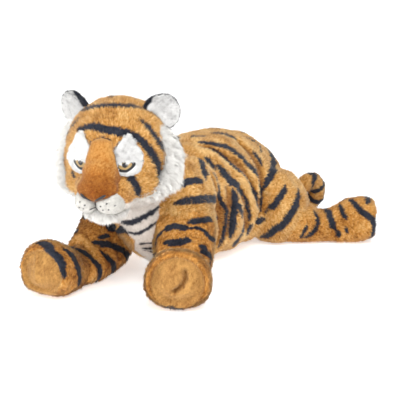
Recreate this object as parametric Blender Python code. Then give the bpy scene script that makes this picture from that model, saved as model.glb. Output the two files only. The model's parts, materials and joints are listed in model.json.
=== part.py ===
"""A large lying plush tiger, sewn from pile fabric over polyester filling.

The tiger faces -Y, its own left is +X and +Z is up. The origin is on the floor, in the middle of
the flat of the belly. Every seam that moves is a ball or an upright egg, so it turns in its socket
without opening. All lengths are in metres.
"""

import math

import bmesh
import bpy
from mathutils import Matrix, Vector

# Fabric and seams
PILE_FABRIC = 0.0020        # thickness of the sewn pile fabric
SEWN_GAP = 0.0004           # room between two sewn or stuffed pieces
SEAM_GAP = 0.0004           # room in the soft seams that move
FLOOR_CUT = 0.0005          # depth of the flat that the weight presses into each form
OVERRUN = 0.010             # how far a cutting form runs past what it cuts

# Trunk
TRUNK_LENGTH = 0.515        # chest to rump
TRUNK_HALF_WIDTH = 0.120
TRUNK_HEIGHT = 0.241
CHEST_FRONT = -0.255        # y of the foremost point of the chest
BELLY_PANEL_HALF_WIDTH = 0.052
BELLY_PANEL_CHEST = 0.135   # height that the pale panel reaches on the chest
BELLY_PANEL_RUMP = 0.050    # height that it reaches under the tail

# Neck
NECK_RADIUS = 0.058
NECK_BACK = -0.220          # y of the middle of the neck ball
NECK_HEIGHT = 0.193

# Head
HEAD_REACH = 0.092          # middle of the neck to the middle of the head
HEAD_TURN_DEG = 16.0        # the head looks a little to its own left
HEAD_HEIGHT = 0.246
HEAD_HALF_WIDTH = 0.094
HEAD_FRONT_DEPTH = 0.084
HEAD_REAR_DEPTH = 0.090
HEAD_CROWN = 0.106          # middle of the head to the crown
HEAD_JAW = 0.090            # middle of the head to the jaw
HEAD_SQUARENESS = 2.2       # 2 is an egg, more is flatter in front and at the sides
HEAD_BACK = NECK_BACK - HEAD_REACH

# Nose bridge, muzzle, chin
BRIDGE_HALF_WIDTH = 0.034
BRIDGE_TOP = 0.043          # height of its upper end above the middle of the head
BRIDGE_TIP = 0.049          # depth of the nose below the middle of the head
BRIDGE_REACH = 0.132        # nose tip in front of the middle of the head
MUZZLE_HALF_WIDTH = 0.0245
MUZZLE_HALF_DEPTH = 0.038
MUZZLE_HALF_HEIGHT = 0.0220
MUZZLE_SIDE = 0.0245        # middle of each pad beside the middle line
MUZZLE_DROP = 0.0550        # middle of each pad below the middle of the head
MUZZLE_REACH = 0.091        # middle of each pad in front of the middle of the head
CHIN_HALF_WIDTH = 0.036
CHIN_HALF_DEPTH = 0.040
CHIN_HALF_HEIGHT = 0.0175
CHIN_DROP = 0.0765
CHIN_REACH = 0.070

# Ruff
RUFF_HALF_WIDTH = 0.015
RUFF_HALF_DEPTH = 0.028
RUFF_BACKWARD = 0.006       # its upper end behind the middle of the head
RUFF_FORWARD = 0.052        # its lower end in front of the middle of the head
RUFF_TOP_DEG = 25.0         # its upper end, as an angle above the middle of the head
RUFF_BOTTOM_DEG = -62.0
RUFF_OUT = 0.002            # how far its middle line stands off the skin

# Eyes
EYE_SIDE = 0.0402
EYE_RISE = 0.004            # middle of the eye above the middle of the head
PATCH_HALF_WIDTH = 0.0235
PATCH_APEX = 0.052
PATCH_LOWER = 0.0165
IRIS_HALF_WIDTH = 0.0115
IRIS_HALF_HEIGHT = 0.0072
PUPIL_RADIUS = 0.0048
LID_HALF_WIDTH = 0.0132     # half length of the lower lid line
LID_SAG = 0.0075
LID_THICKNESS = 0.0036
STITCH_THICKNESS = 0.0008   # height of an embroidered area

# Ears
EAR_HALF_WIDTH = 0.033
EAR_HEIGHT = 0.050
EAR_BACK_DEPTH = 0.0055
EAR_FRONT_DEPTH = 0.0040
EAR_EDGE = 0.0012
EAR_CUP = 0.009             # how far the rim stands in front of the middle
EAR_SINK = 0.022            # how far the leaf runs into the head before the head cuts it
EAR_FOLD_DEG = 15.0         # how far back an ear folds
EAR_SPREAD_DEG = 41.0       # lean of each ear away from the middle
EAR_SIDE = 0.0660           # place of the ear's root beside the middle line
EAR_BACKWARD = 0.002        # place of the ear's root behind the middle of the head
EAR_FACING_DEG = 28.0       # turn of each ear's front to its own side
EAR_ROOT_DEPTH = 0.007      # depth of the ear's fold line under the skin of the head

# Front legs
FRONT_ROOT_RADIUS = 0.058   # of the upright egg at the shoulder
FRONT_ROOT_HALF_HEIGHT = 0.082
FRONT_ROOT_HEIGHT = 0.0995
FRONT_ROOT_SIDE = 0.082
FRONT_ROOT_BACK = -0.185
LEFT_FRONT_REACH = 0.200    # shoulder to sole
RIGHT_FRONT_REACH = 0.252
LEFT_FRONT_SPLAY_DEG = 29.0
RIGHT_FRONT_SPLAY_DEG = -5.0
LEFT_PAW_HALF_WIDTH = 0.057
LEFT_PAW_HEIGHT = 0.098
RIGHT_PAW_HALF_WIDTH = 0.052
RIGHT_PAW_HEIGHT = 0.102
FRONT_INWARD_DEG = 6.0      # how far a front leg swings towards the other

# Hind legs
HIND_ROOT_RADIUS = 0.066
HIND_ROOT_HALF_HEIGHT = 0.075
HIND_ROOT_HEIGHT = 0.0745
HIND_ROOT_SIDE = 0.112
HIND_ROOT_BACK = 0.127
HIND_REACH = 0.210
HIND_SPLAY_DEG = 121.0
HIND_PAW_HALF_WIDTH = 0.044
HIND_PAW_HEIGHT = 0.095

# Tail
TAIL_RADIUS = 0.0175
TAIL_TAPER_POINTS = 4       # points of the middle line over which the root's ball thins out
TAIL_ROOT_RADIUS = 0.0230
TAIL_ROOT_INSET = 0.008     # root of the tail in front of the rump's rearmost point
TAIL_ROOT_BACK = CHEST_FRONT + TRUNK_LENGTH - TAIL_ROOT_INSET
TAIL_ROOT_HEIGHT = 0.070

# Facets
TRUNK_SIDES = 24
HEAD_SIDES = 24
HEAD_RINGS = 12
LEG_SIDES = 16
TAIL_SIDES = 10
PAD_SIDES = 16
PAD_RINGS = 8
PUPIL_SIDES = 10
LID_STEPS = 8
NECK_SIDES = 18
NECK_RINGS = 10
SOCKET_SIDES = 20
SOCKET_RINGS = 12
RUFF_SIDES = 12
RUFF_STEPS = 9
TAIL_STEPS = 2              # between two points of its middle line

# Shares along the trunk: place, half width, top and bottom, each as a share of the trunk's size
TRUNK_SHARES = [
    (0.012, 0.15, 0.500, 0.250),
    (0.045, 0.25, 0.600, 0.130),
    (0.095, 0.30, 0.700, 0.050),
    (0.165, 0.52, 0.800, 0.010),
    (0.250, 0.78, 0.890, 0.000),
    (0.350, 0.95, 0.955, 0.000),
    (0.460, 1.00, 0.995, 0.000),
    (0.580, 1.00, 1.000, 0.000),
    (0.700, 0.97, 0.965, 0.000),
    (0.805, 0.88, 0.885, 0.010),
    (0.895, 0.70, 0.755, 0.060),
    (0.965, 0.43, 0.590, 0.160),
]
TRUNK_CHEST_SHARE = 0.35    # height of the chest's foremost point
TRUNK_RUMP_SHARE = 0.37     # height of the rump's rearmost point
TRUNK_WAIST_SHARE = 0.42    # height of the widest line in each section
UPPER_SQUARENESS = 2.1
LOWER_SQUARENESS = 2.6

# Shares along a leg past its root: place as a share of the reach, then half width and height as
# shares of the paw's, then the bottom as a share of the paw's height
FRONT_LEG_SHARES = [
    (0.17, 0.98, 1.60, 0.08),
    (0.30, 0.91, 1.26, 0.00),
    (0.40, 0.86, 0.98, 0.00),
    (0.50, 0.81, 0.68, 0.00),
    (0.60, 0.81, 0.68, 0.00),
    (0.72, 0.90, 0.86, 0.00),
    (0.84, 1.00, 0.98, 0.00),
    (0.93, 0.98, 0.96, 0.01),
    (0.97, 0.90, 0.90, 0.06),
]
HIND_LEG_SHARES = [
    (0.22, 1.10, 1.12, 0.00),
    (0.32, 1.04, 0.86, 0.00),
    (0.42, 0.92, 0.71, 0.00),
    (0.52, 0.84, 0.71, 0.00),
    (0.63, 0.88, 0.83, 0.00),
    (0.74, 0.96, 0.96, 0.00),
    (0.86, 1.00, 1.00, 0.00),
    (0.94, 0.98, 0.97, 0.01),
    (0.975, 0.90, 0.91, 0.06),
]
ROOT_ANGLES_DEG = (22.0, 44.0, 66.0, 88.0)
TAIL_ROOT_ANGLES_DEG = (25.0, 55.0, 85.0)
TAIL_TIP_ANGLES_DEG = (30.0, 60.0)
SOLE_SHARES = [(0.36, 0.85), (0.70, 0.55)]      # size and bulge of the rings across a sole
SOLE_BULGE = 0.005
STITCH_RING_SHARES = (0.5, 1.0)                 # rings across a patch or a stitched area
LID_TAPER_SHARE = 0.6       # how much thinner a lid line is at its ends
PATCH_POINT_SHARE = 0.35    # how much of the patch's upper outline is straight, not round

# Shares across an ear
EAR_TAPER_SHARE = 0.25      # how much narrower an ear is at its lower end
EAR_RING_SHARES = (0.4, 0.75, 1.0)

# Shares down the nose bridge: place, half width and reach
BRIDGE_SHARES = [
    (0.00, 0.50, 0.70),
    (0.16, 0.62, 0.755),
    (0.40, 0.76, 0.81),
    (0.62, 0.90, 0.88),
    (0.80, 1.00, 0.95),
    (0.93, 0.94, 1.00),
]
BRIDGE_ROOT_SHARE = 0.55    # where its sections begin, inside the head, as a share of the reach
BRIDGE_CROWN_SHARE = 1.12   # its top pole, as a share of the height of its first section
BRIDGE_TIP_SHARE = 0.80     # its lower pole, as a share of the reach
BRIDGE_ROUND_SHARE = 0.6    # less than 1 is blunter than an oval
RUFF_END_SHARE = 0.10       # how far into its swell the ruff starts and ends

# What the four nearest marks add to a smooth curve, for each power of the way between two of them
CURVE_SHARES = [
    (0, 1, 0, 0),
    (-0.5, 0, 0.5, 0),
    (1, -2.5, 2, -0.5),
    (-0.5, 1.5, -1.5, 0.5),
]

# Points of the tail's middle line: to the left, back and up from its root, in tail radii
TAIL_ROUTE_SHARES = [
    (0.8, 2.0, -0.9),
    (2.4, 3.3, -1.9),
    (4.3, 3.9, -2.3),
    (6.0, 3.8, -1.5),
    (6.9, 3.6, 0.0),
    (6.9, 2.8, 1.3),
    (6.7, 1.6, 1.8),
    (6.4, 0.5, 1.4),
]

ORANGE = (0.62, 0.30, 0.09, 1)
NOSE_ORANGE = (0.58, 0.24, 0.05, 1)
WHITE = (0.85, 0.84, 0.83, 1)
CHEST_WHITE = (0.70, 0.65, 0.61, 1)
STRIPE = (0.012, 0.014, 0.022, 1)
AMBER = (0.50, 0.30, 0.11, 1)
SOLE_TAN = (0.66, 0.37, 0.14, 1)
POLYESTER = (0.80, 0.80, 0.78, 1)


def clear_scene():
    """Take every object of an earlier run out of the file."""
    for thing in list(bpy.data.objects):
        bpy.data.objects.remove(thing, do_unlink=True)


def material(name, colour, roughness):
    """One plain Principled finish."""
    finish = bpy.data.materials.new(name)
    finish.use_nodes = True
    shader = finish.node_tree.nodes["Principled BSDF"]
    shader.inputs["Base Color"].default_value = colour
    shader.inputs["Roughness"].default_value = roughness
    shader.inputs["Metallic"].default_value = 0.0
    return finish


def power(value, exponent):
    """A signed power, for squared-off ovals."""
    return math.copysign(abs(value) ** exponent, value)


class Form:
    """A closed stuffed form: rings of points between a first and a last pole."""

    def __init__(self, first, rings, last):
        self.first = first
        self.rings = rings
        self.last = last

    def mesh(self):
        """The closed surface, faces outwards."""
        bm = bmesh.new()
        first = bm.verts.new(self.first)
        loops = [[bm.verts.new(point) for point in ring] for ring in self.rings]
        last = bm.verts.new(self.last)
        count = len(loops[0])
        for k in range(count):
            bm.faces.new((first, loops[0][(k + 1) % count], loops[0][k]))
            bm.faces.new((last, loops[-1][k], loops[-1][(k + 1) % count]))
        bridge(bm, loops)
        bmesh.ops.recalc_face_normals(bm, faces=bm.faces)
        bm.normal_update()
        return bm

    def moved_in(self, depth):
        """The same form with its surface moved inwards by a depth, or outwards if negative."""
        bm = self.mesh()
        bm.verts.ensure_lookup_table()
        places = [vert.co - vert.normal * depth for vert in bm.verts]
        bm.free()
        count = len(self.rings[0])
        rings = [places[1 + k * count:1 + (k + 1) * count] for k in range(len(self.rings))]
        return Form(places[0], rings, places[-1])


def bridge(bm, loops, closed=False):
    """Triangles between each loop of vertices and the next, split along the shorter diagonal."""
    pairs = list(zip(loops, loops[1:]))
    if closed:
        pairs.append((loops[-1], loops[0]))
    for one, two in pairs:
        for k in range(len(one)):
            after = (k + 1) % len(one)
            square = (one[k], one[after], two[after], two[k])
            first = (square[0].co - square[2].co).length
            second = (square[1].co - square[3].co).length
            if first <= second:
                bm.faces.new((square[0], square[1], square[2]))
                bm.faces.new((square[0], square[2], square[3]))
            else:
                bm.faces.new((square[0], square[1], square[3]))
                bm.faces.new((square[1], square[2], square[3]))


def sleeve_mesh(outer, inner, start, stop):
    """A fabric sleeve between two forms, open at both ends, from one ring to another."""
    bm = bmesh.new()
    rings = outer.rings[start:stop] + inner.rings[start:stop][::-1]
    bridge(bm, [[bm.verts.new(point) for point in ring] for ring in rings], closed=True)
    bmesh.ops.recalc_face_normals(bm, faces=bm.faces)
    return bm


def sock_mesh(outer, inner, start):
    """A fabric sock between two forms, open at its first end and closed at its last pole."""
    bm = bmesh.new()
    rings = outer.rings[start:][::-1] + inner.rings[start:]
    loops = [[bm.verts.new(point) for point in ring] for ring in rings]
    bridge(bm, loops)
    count = len(loops[0])
    toe = bm.verts.new(outer.last)
    lining = bm.verts.new(inner.last)
    for k in range(count):
        bm.faces.new((toe, loops[0][(k + 1) % count], loops[0][k]))
        bm.faces.new((lining, loops[-1][k], loops[-1][(k + 1) % count]))
    bmesh.ops.recalc_face_normals(bm, faces=bm.faces)
    return bm


def cut_flat(bm):
    """Cut a mesh flat on the floor and close the cut."""
    whole = list(bm.verts) + list(bm.edges) + list(bm.faces)
    bmesh.ops.bisect_plane(bm, geom=whole, dist=FLOOR_CUT / 50, plane_co=(0, 0, 0),
                           plane_no=(0, 0, 1), clear_inner=True)
    rim = [edge for edge in bm.edges if edge.is_boundary]
    if rim:
        bmesh.ops.holes_fill(bm, edges=rim)
    bmesh.ops.recalc_face_normals(bm, faces=bm.faces)
    return bm


def add_object(name, bm, finish, origin=(0, 0, 0)):
    """Put a mesh into the scene as a named object whose origin lies on its joint."""
    mesh = bpy.data.meshes.new(name)
    bmesh.ops.translate(bm, verts=bm.verts, vec=-Vector(origin))
    bm.to_mesh(mesh)
    bm.free()
    mesh.shade_smooth()
    thing = bpy.data.objects.new(name, mesh)
    thing.location = origin
    bpy.context.scene.collection.objects.link(thing)
    if finish:
        mesh.materials.append(finish)
    return thing


def add_cutter(name, bm):
    """A form that only cuts others."""
    cutter = add_object(name, bm, None)
    cutter.hide_render = True
    cutter.display_type = "WIRE"
    return cutter


def turned(bm, turn, pivot):
    """A mesh turned about a pivot by a rotation matrix."""
    bmesh.ops.rotate(bm, verts=bm.verts, cent=pivot, matrix=turn)
    return bm


def head_turn(bm):
    """A mesh modelled on the straight head, turned with the head about the neck."""
    return turned(bm, Matrix.Rotation(math.radians(HEAD_TURN_DEG), 3, "Z"), neck_middle())


def neck_middle():
    """The point on which the head turns and nods."""
    return Vector((0, NECK_BACK, NECK_HEIGHT))


def head_piece(name, bm, finish, origin=None):
    """A named piece of the head, modelled straight and then turned with it."""
    return add_object(name, head_turn(bm), finish, origin or neck_middle())


def head_cutter(name, bm):
    """A form that cuts pieces of the head, modelled straight and then turned with it."""
    return add_cutter(name, head_turn(bm))


def cut(thing, cutter, operation="DIFFERENCE"):
    """Cut an object by a form."""
    modifier = thing.modifiers.new(cutter.name, "BOOLEAN")
    modifier.operation = operation
    modifier.object = cutter
    modifier.solver = "EXACT"


def oval(middle, across, up, half_width, rise, drop, sides, squareness=None):
    """A ring of points: an oval with a rounder upper and a squarer lower half."""
    points = []
    for k in range(sides):
        angle = 2 * math.pi * (k + 0.5) / sides
        rounding = squareness or (UPPER_SQUARENESS if math.sin(angle) > 0 else LOWER_SQUARENESS)
        side = power(math.cos(angle), 2 / rounding) * half_width
        height = power(math.sin(angle), 2 / rounding)
        height *= rise if height > 0 else drop
        points.append(middle + across * side + up * height)
    return points


def egg(middle, radii, sides, rings, axis="Z", squareness=2.0):
    """A ball or egg with its poles on an axis; radii are (x-, x+, y-, y+, z-, z+)."""
    def place(direction):
        low = Vector(radii[0::2])
        high = Vector(radii[1::2])
        size = sum(abs(value) ** squareness for value in direction) ** (-1 / squareness)
        return middle + Vector(
            direction[k] * size * (high[k] if direction[k] > 0 else low[k]) for k in range(3))

    def unit(polar, turn):
        ring = math.sin(polar)
        pole = math.cos(polar)
        if axis == "Y":
            return Vector((ring * math.cos(turn), -pole, ring * math.sin(turn)))
        return Vector((ring * math.cos(turn), ring * math.sin(turn), -pole))

    loops = []
    for j in range(1, rings):
        polar = math.pi * j / rings
        loops.append([place(unit(polar, 2 * math.pi * (k + 0.5) / sides)) for k in range(sides)])
    return Form(place(unit(0, 0)), loops, place(unit(math.pi, 0)))


def socket_size(radius, sides, rings):
    """The size of a faceted socket whose flat facets still clear a ball of some radius."""
    return (radius + SEAM_GAP) / math.cos(math.pi / sides) / math.cos(math.pi / 2 / rings)


def leg_socket(side, back, height, radius, half_height):
    """The hollow in the trunk for the upright egg at the root of a leg."""
    wide = socket_size(radius, SOCKET_SIDES, SOCKET_RINGS)
    tall = socket_size(half_height, SOCKET_SIDES, SOCKET_RINGS)
    return egg(Vector((side, back, height)), (wide, wide, wide, wide, tall, tall),
               SOCKET_SIDES, SOCKET_RINGS)


def ball_socket(middle, radius, axis="Z"):
    """The hollow for a ball."""
    size = socket_size(radius, SOCKET_SIDES, SOCKET_RINGS)
    return egg(middle, (size,) * 6, SOCKET_SIDES, SOCKET_RINGS, axis)


def trunk_form():
    """The trunk, from chest to rump."""
    base = -FLOOR_CUT
    tall = TRUNK_HEIGHT + FLOOR_CUT
    rings = []
    for place, wide, top, bottom in TRUNK_SHARES:
        low = base + bottom * tall
        high = base + top * tall
        waist = low + (high - low) * TRUNK_WAIST_SHARE
        middle = Vector((0, CHEST_FRONT + place * TRUNK_LENGTH, waist))
        rings.append(oval(middle, Vector((1, 0, 0)), Vector((0, 0, 1)), wide * TRUNK_HALF_WIDTH,
                          high - waist, waist - low, TRUNK_SIDES))
    chest = Vector((0, CHEST_FRONT, base + TRUNK_CHEST_SHARE * tall))
    rump = Vector((0, CHEST_FRONT + TRUNK_LENGTH, base + TRUNK_RUMP_SHARE * tall))
    return Form(chest, rings, rump)


def head_form():
    """The head without ears, bridge and muzzle; its poles are in front and behind."""
    middle = Vector((0, HEAD_BACK, HEAD_HEIGHT))
    radii = (HEAD_HALF_WIDTH, HEAD_HALF_WIDTH, HEAD_FRONT_DEPTH, HEAD_REAR_DEPTH, HEAD_JAW,
             HEAD_CROWN)
    return egg(middle, radii, HEAD_SIDES, HEAD_RINGS, "Y", HEAD_SQUARENESS)


def head_share(*shares):
    """How far out the head's surface lies along one axis, at shares of the way along the others."""
    return (1 - sum(abs(share) ** HEAD_SQUARENESS for share in shares)) ** (1 / HEAD_SQUARENESS)


def on_head(side, rise, lift):
    """A point on the front of the head, at a place in the front view, lifted off the skin."""
    tall = HEAD_CROWN if rise > 0 else HEAD_JAW
    across = side / HEAD_HALF_WIDTH
    up = rise / tall
    out = head_share(across, up)
    slope = Vector((power(across, HEAD_SQUARENESS - 1) / HEAD_HALF_WIDTH,
                    -out ** (HEAD_SQUARENESS - 1) / HEAD_FRONT_DEPTH,
                    power(up, HEAD_SQUARENESS - 1) / tall))
    place = Vector((side, HEAD_BACK - out * HEAD_FRONT_DEPTH, HEAD_HEIGHT + rise))
    return place + slope.normalized() * lift


def plate_mesh(low, high):
    """A thin closed plate between two layers, each a middle point and rings round it."""
    bm = bmesh.new()
    layers = []
    for middle, rings in (low, high):
        centre = bm.verts.new(middle)
        loops = [[bm.verts.new(point) for point in ring] for ring in rings]
        count = len(loops[0])
        for k in range(count):
            bm.faces.new((centre, loops[0][k], loops[0][(k + 1) % count]))
        bridge(bm, loops)
        layers.append(loops[-1])
    bridge(bm, layers)
    bmesh.ops.recalc_face_normals(bm, faces=bm.faces)
    return bm


def sewn_on_head(side, rise, outline, lift, thickness, sides=PAD_SIDES):
    """A flat sewn or stitched area on the front of the head; outline gives (across, up)."""
    layers = []
    for height in (lift, lift + thickness):
        rings = []
        for share in STITCH_RING_SHARES:
            ring = []
            for k in range(sides):
                across, up = outline(2 * math.pi * k / sides)
                ring.append(on_head(side + share * across, rise + share * up, height))
            rings.append(ring)
        layers.append((on_head(side, rise, height), rings))
    return plate_mesh(*layers)


def teardrop(angle):
    """The white patch over an eye: round below, drawn out to a point above."""
    up = math.sin(angle)
    across = math.cos(angle) * PATCH_HALF_WIDTH
    if up > 0:
        round_share = math.cos(angle) ** 2 * (1 - PATCH_POINT_SHARE)
        across *= round_share ** 0.5 + PATCH_POINT_SHARE * (1 - up)
        return across, up * PATCH_APEX
    return across, up * PATCH_LOWER


def lens_outline(half_width, half_height):
    """An oval outline."""
    return lambda angle: (math.cos(angle) * half_width, math.sin(angle) * half_height)


def leg_form(root, heading, root_radius, root_half_height, reach, paw_half_width, paw_height,
             shares):
    """A leg: the rear of an upright egg, then sections that taper to the ankle and swell to the
    paw. The last ring is the rim that the sole is sewn into."""
    across = Vector((-heading.y, heading.x, 0))
    up = Vector((0, 0, 1))
    rings = []
    for degrees in ROOT_ANGLES_DEG:
        angle = math.radians(degrees)
        middle = root - heading * root_radius * math.cos(angle)
        tall = root_half_height * math.sin(angle)
        rings.append(oval(middle, across, up, root_radius * math.sin(angle), tall, tall,
                          LEG_SIDES, 2))
    base = -FLOOR_CUT
    tall = paw_height + FLOOR_CUT
    for place, wide, high_share, low_share in shares:
        low = base + low_share * tall
        high = base + high_share * tall
        half = (high - low) / 2
        middle = Vector((root.x, root.y, low + half)) + heading * place * reach
        rings.append(oval(middle, across, up, wide * paw_half_width, half, half, LEG_SIDES))
    middle = sum(rings[-1], Vector()) / LEG_SIDES
    return Form(root - heading * root_radius, rings, middle)


def inset(ring, middle, depth, shift):
    """A ring drawn in towards its middle by a depth, and shifted."""
    return [point - (point - middle).normalized() * depth + shift for point in ring]


def sole_mesh(leg, heading):
    """The round sole, sewn into the mouth of a leg: a slightly domed disc of fabric."""
    rim = leg.rings[-1]
    middle = leg.last
    layers = []
    for shift in (-PILE_FABRIC, 0.0):
        edge = inset(rim, middle, PILE_FABRIC + 2 * SEWN_GAP, heading * shift)
        rings = []
        for size, bulge in SOLE_SHARES:
            dome = heading * SOLE_BULGE * bulge
            rings.append([middle + heading * shift + (point - middle - heading * shift) * size
                          + dome for point in edge])
        rings.append(edge)
        layers.append((middle + heading * (shift + SOLE_BULGE), rings))
    return plate_mesh(*layers)


def leg_filling(leg, heading):
    """What stuffs a leg, up to the back of its sole."""
    inside = leg.moved_in(PILE_FABRIC + SEWN_GAP)
    back = heading * -(PILE_FABRIC + 2 * SEWN_GAP)
    rim = inset(leg.rings[-1], leg.last, PILE_FABRIC + 2 * SEWN_GAP, back)
    return Form(inside.first, inside.rings[:-1] + [rim], leg.last + back)


def smooth_route(points, steps):
    """A smooth curve through points, with a number of steps between each two."""
    curve = []
    for k in range(len(points) - 1):
        before = points[max(k - 1, 0)]
        after = points[min(k + 2, len(points) - 1)]
        one, two = points[k], points[k + 1]
        for step in range(steps):
            t = step / steps
            powers = (1, t, t * t, t * t * t)
            point = Vector((0, 0, 0))
            for height, shares in zip(powers, CURVE_SHARES):
                for share, mark in zip(shares, (before, one, two, after)):
                    point += mark * (height * share)
            curve.append(point)
    curve.append(points[-1])
    return curve


def tail_form(depth=0):
    """The tail: a ball in the rump, then a curling tube with a round end, or what lies a depth
    under its surface."""
    root = Vector((0, TAIL_ROOT_BACK, TAIL_ROOT_HEIGHT))
    way = [root] + [root + Vector(share) * TAIL_RADIUS for share in TAIL_ROUTE_SHARES]
    line = smooth_route(way, TAIL_STEPS)
    start = (line[1] - line[0]).normalized()
    across = start.cross(Vector((0, 0, 1))).normalized()
    rings = []
    up = across.cross(start)
    for degrees in TAIL_ROOT_ANGLES_DEG:
        angle = math.radians(degrees)
        middle = root - start * (TAIL_ROOT_RADIUS - depth) * math.cos(angle)
        size = (TAIL_ROOT_RADIUS - depth) * math.sin(angle)
        rings.append(round_ring(middle, across, up, size))
    for k in range(1, len(line)):
        ahead = line[min(k + 1, len(line) - 1)] - line[k - 1]
        ahead.normalize()
        across = (across - ahead * across.dot(ahead)).normalized()
        up = across.cross(ahead)
        swell = (TAIL_ROOT_RADIUS - TAIL_RADIUS) * max(0, 1 - k / TAIL_TAPER_POINTS)
        rings.append(round_ring(line[k], across, up, TAIL_RADIUS + swell - depth))
    ahead = (line[-1] - line[-2]).normalized()
    for degrees in TAIL_TIP_ANGLES_DEG:
        angle = math.radians(degrees)
        middle = line[-1] + ahead * (TAIL_RADIUS - depth) * math.sin(angle)
        rings.append(round_ring(middle, across, up, (TAIL_RADIUS - depth) * math.cos(angle)))
    return Form(root - start * (TAIL_ROOT_RADIUS - depth), rings,
                line[-1] + ahead * (TAIL_RADIUS - depth))


def round_ring(middle, across, up, radius):
    """A round ring of the tail."""
    points = []
    for k in range(TAIL_SIDES):
        angle = 2 * math.pi * k / TAIL_SIDES
        points.append(middle + (across * math.cos(angle) + up * math.sin(angle)) * radius)
    return points


def ear_frame(sign):
    """The ear's own axes and root on the straight head: across, backwards and up the ear."""
    lean = math.radians(EAR_SPREAD_DEG) * sign
    up = Vector((math.sin(lean), 0, math.cos(lean)))
    facing = math.radians(EAR_FACING_DEG) * sign
    back = Vector((-math.sin(facing), math.cos(facing), 0))
    back = (back - up * back.dot(up)).normalized()
    across = back.cross(up)
    rise = HEAD_CROWN * head_share(EAR_SIDE / HEAD_HALF_WIDTH, EAR_BACKWARD / HEAD_REAR_DEPTH)
    rise -= EAR_ROOT_DEPTH
    root = Vector((EAR_SIDE * sign, HEAD_BACK + EAR_BACKWARD, HEAD_HEIGHT + rise))
    return across, back, up, root


def ear_mesh(sign, depth):
    """Half an ear: a cupped leaf, thickest in the middle, in front of or behind the mid face."""
    across, back, up, root = ear_frame(sign)
    way = math.copysign(1, depth)
    tall_reach = EAR_HEIGHT + EAR_SINK

    def place(wide, tall, share, swell):
        height = tall_reach * (1 + tall) / 2 - EAR_SINK
        side = EAR_HALF_WIDTH * wide * (1 - EAR_TAPER_SHARE * max(-tall, 0))
        cup = -EAR_CUP * (wide * wide + max(tall, 0) ** 2 / 2)
        thick = EAR_EDGE + (abs(depth) - EAR_EDGE) * (1 - share * share)
        offset = way * (SEWN_GAP / 2 + swell * thick)
        return root + across * side + up * height + back * (cup + offset)

    layers = []
    for swell in (0, 1):
        rings = []
        for share in EAR_RING_SHARES:
            angles = [2 * math.pi * (k + 0.5) / PAD_SIDES for k in range(PAD_SIDES)]
            rings.append([place(math.cos(angle) * share, math.sin(angle) * share, share, swell)
                          for angle in angles])
        layers.append((place(0, 0, 0, swell), rings))
    return plate_mesh(*layers)


def ruff_form(sign):
    """The long-pile ruff on one cheek: a sickle from under the ear to beside the chin."""
    rings = []
    ends = []
    for j in range(RUFF_STEPS + 1):
        along = j / RUFF_STEPS
        angle = math.radians(RUFF_TOP_DEG + (RUFF_BOTTOM_DEG - RUFF_TOP_DEG) * along)
        out = Vector((math.cos(angle) * sign, 0, math.sin(angle)))
        tall = HEAD_CROWN if out.z > 0 else HEAD_JAW
        size = (abs(out.x) ** HEAD_SQUARENESS + abs(out.z) ** HEAD_SQUARENESS)
        size = size ** (-1 / HEAD_SQUARENESS)
        forward = RUFF_FORWARD * along ** 2 - RUFF_BACKWARD * (1 - along)
        middle = Vector((out.x * HEAD_HALF_WIDTH * size, HEAD_BACK - forward,
                         HEAD_HEIGHT + out.z * tall * size)) + out * RUFF_OUT
        if j in (0, RUFF_STEPS):
            ends.append(middle)
            continue
        swell = math.sin(math.pi * (RUFF_END_SHARE + (1 - 2 * RUFF_END_SHARE) * along)) ** 0.5
        ring = []
        for k in range(RUFF_SIDES):
            turn = 2 * math.pi * k / RUFF_SIDES
            ring.append(middle + out * math.cos(turn) * RUFF_HALF_WIDTH * swell
                        + Vector((0, 1, 0)) * math.sin(turn) * RUFF_HALF_DEPTH * swell)
        rings.append(ring)
    return Form(ends[0], rings, ends[1])


def bridge_form():
    """The nose bridge: narrow between the brows, broad and blunt at the nose."""
    tall = BRIDGE_TOP + BRIDGE_TIP
    root = HEAD_BACK - BRIDGE_REACH * BRIDGE_ROOT_SHARE
    rings = []
    for down, wide, reach in BRIDGE_SHARES:
        middle = Vector((0, root, HEAD_HEIGHT + BRIDGE_TOP - down * tall))
        depth = BRIDGE_REACH * (reach - BRIDGE_ROOT_SHARE)
        ring = []
        for k in range(PAD_SIDES):
            angle = 2 * math.pi * (k + 0.5) / PAD_SIDES
            across = power(math.cos(angle), BRIDGE_ROUND_SHARE) * wide * BRIDGE_HALF_WIDTH
            ahead = power(math.sin(angle), BRIDGE_ROUND_SHARE) * depth
            ring.append(middle + Vector((across, -ahead, 0)))
        rings.append(ring)
    top = Vector((0, root, HEAD_HEIGHT + BRIDGE_TOP * BRIDGE_CROWN_SHARE))
    tip = Vector((0, HEAD_BACK - BRIDGE_REACH * BRIDGE_TIP_SHARE, HEAD_HEIGHT - BRIDGE_TIP))
    return Form(top, rings, tip)


def build_trunk(finishes):
    """Filling, back cover and belly panel, cut by the neck, the leg roots and the tail root."""
    outer = trunk_form()
    filling = add_object("trunk_filling", outer.moved_in(PILE_FABRIC + SEWN_GAP).mesh(),
                         finishes["filling"])
    back = add_object("back_cover", cut_flat(outer.mesh()), finishes["plush"])
    belly = add_object("belly_panel", cut_flat(outer.mesh()), finishes["chest"])
    hollow = add_cutter("trunk_hollow", outer.moved_in(PILE_FABRIC).mesh())
    cut(back, hollow)
    cut(belly, hollow)
    for name, form in socket_forms():
        socket = add_cutter(name, form.mesh())
        for thing in (filling, back, belly):
            cut(thing, socket)
    for name, room in shoulder_rooms():
        cutter = add_cutter(name, room)
        for thing in (filling, back, belly):
            cut(thing, cutter)
    cut(back, add_cutter("panel_room", panel_mesh(SEWN_GAP)))
    cut(belly, add_cutter("panel", panel_mesh(0.0)), "INTERSECT")


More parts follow.
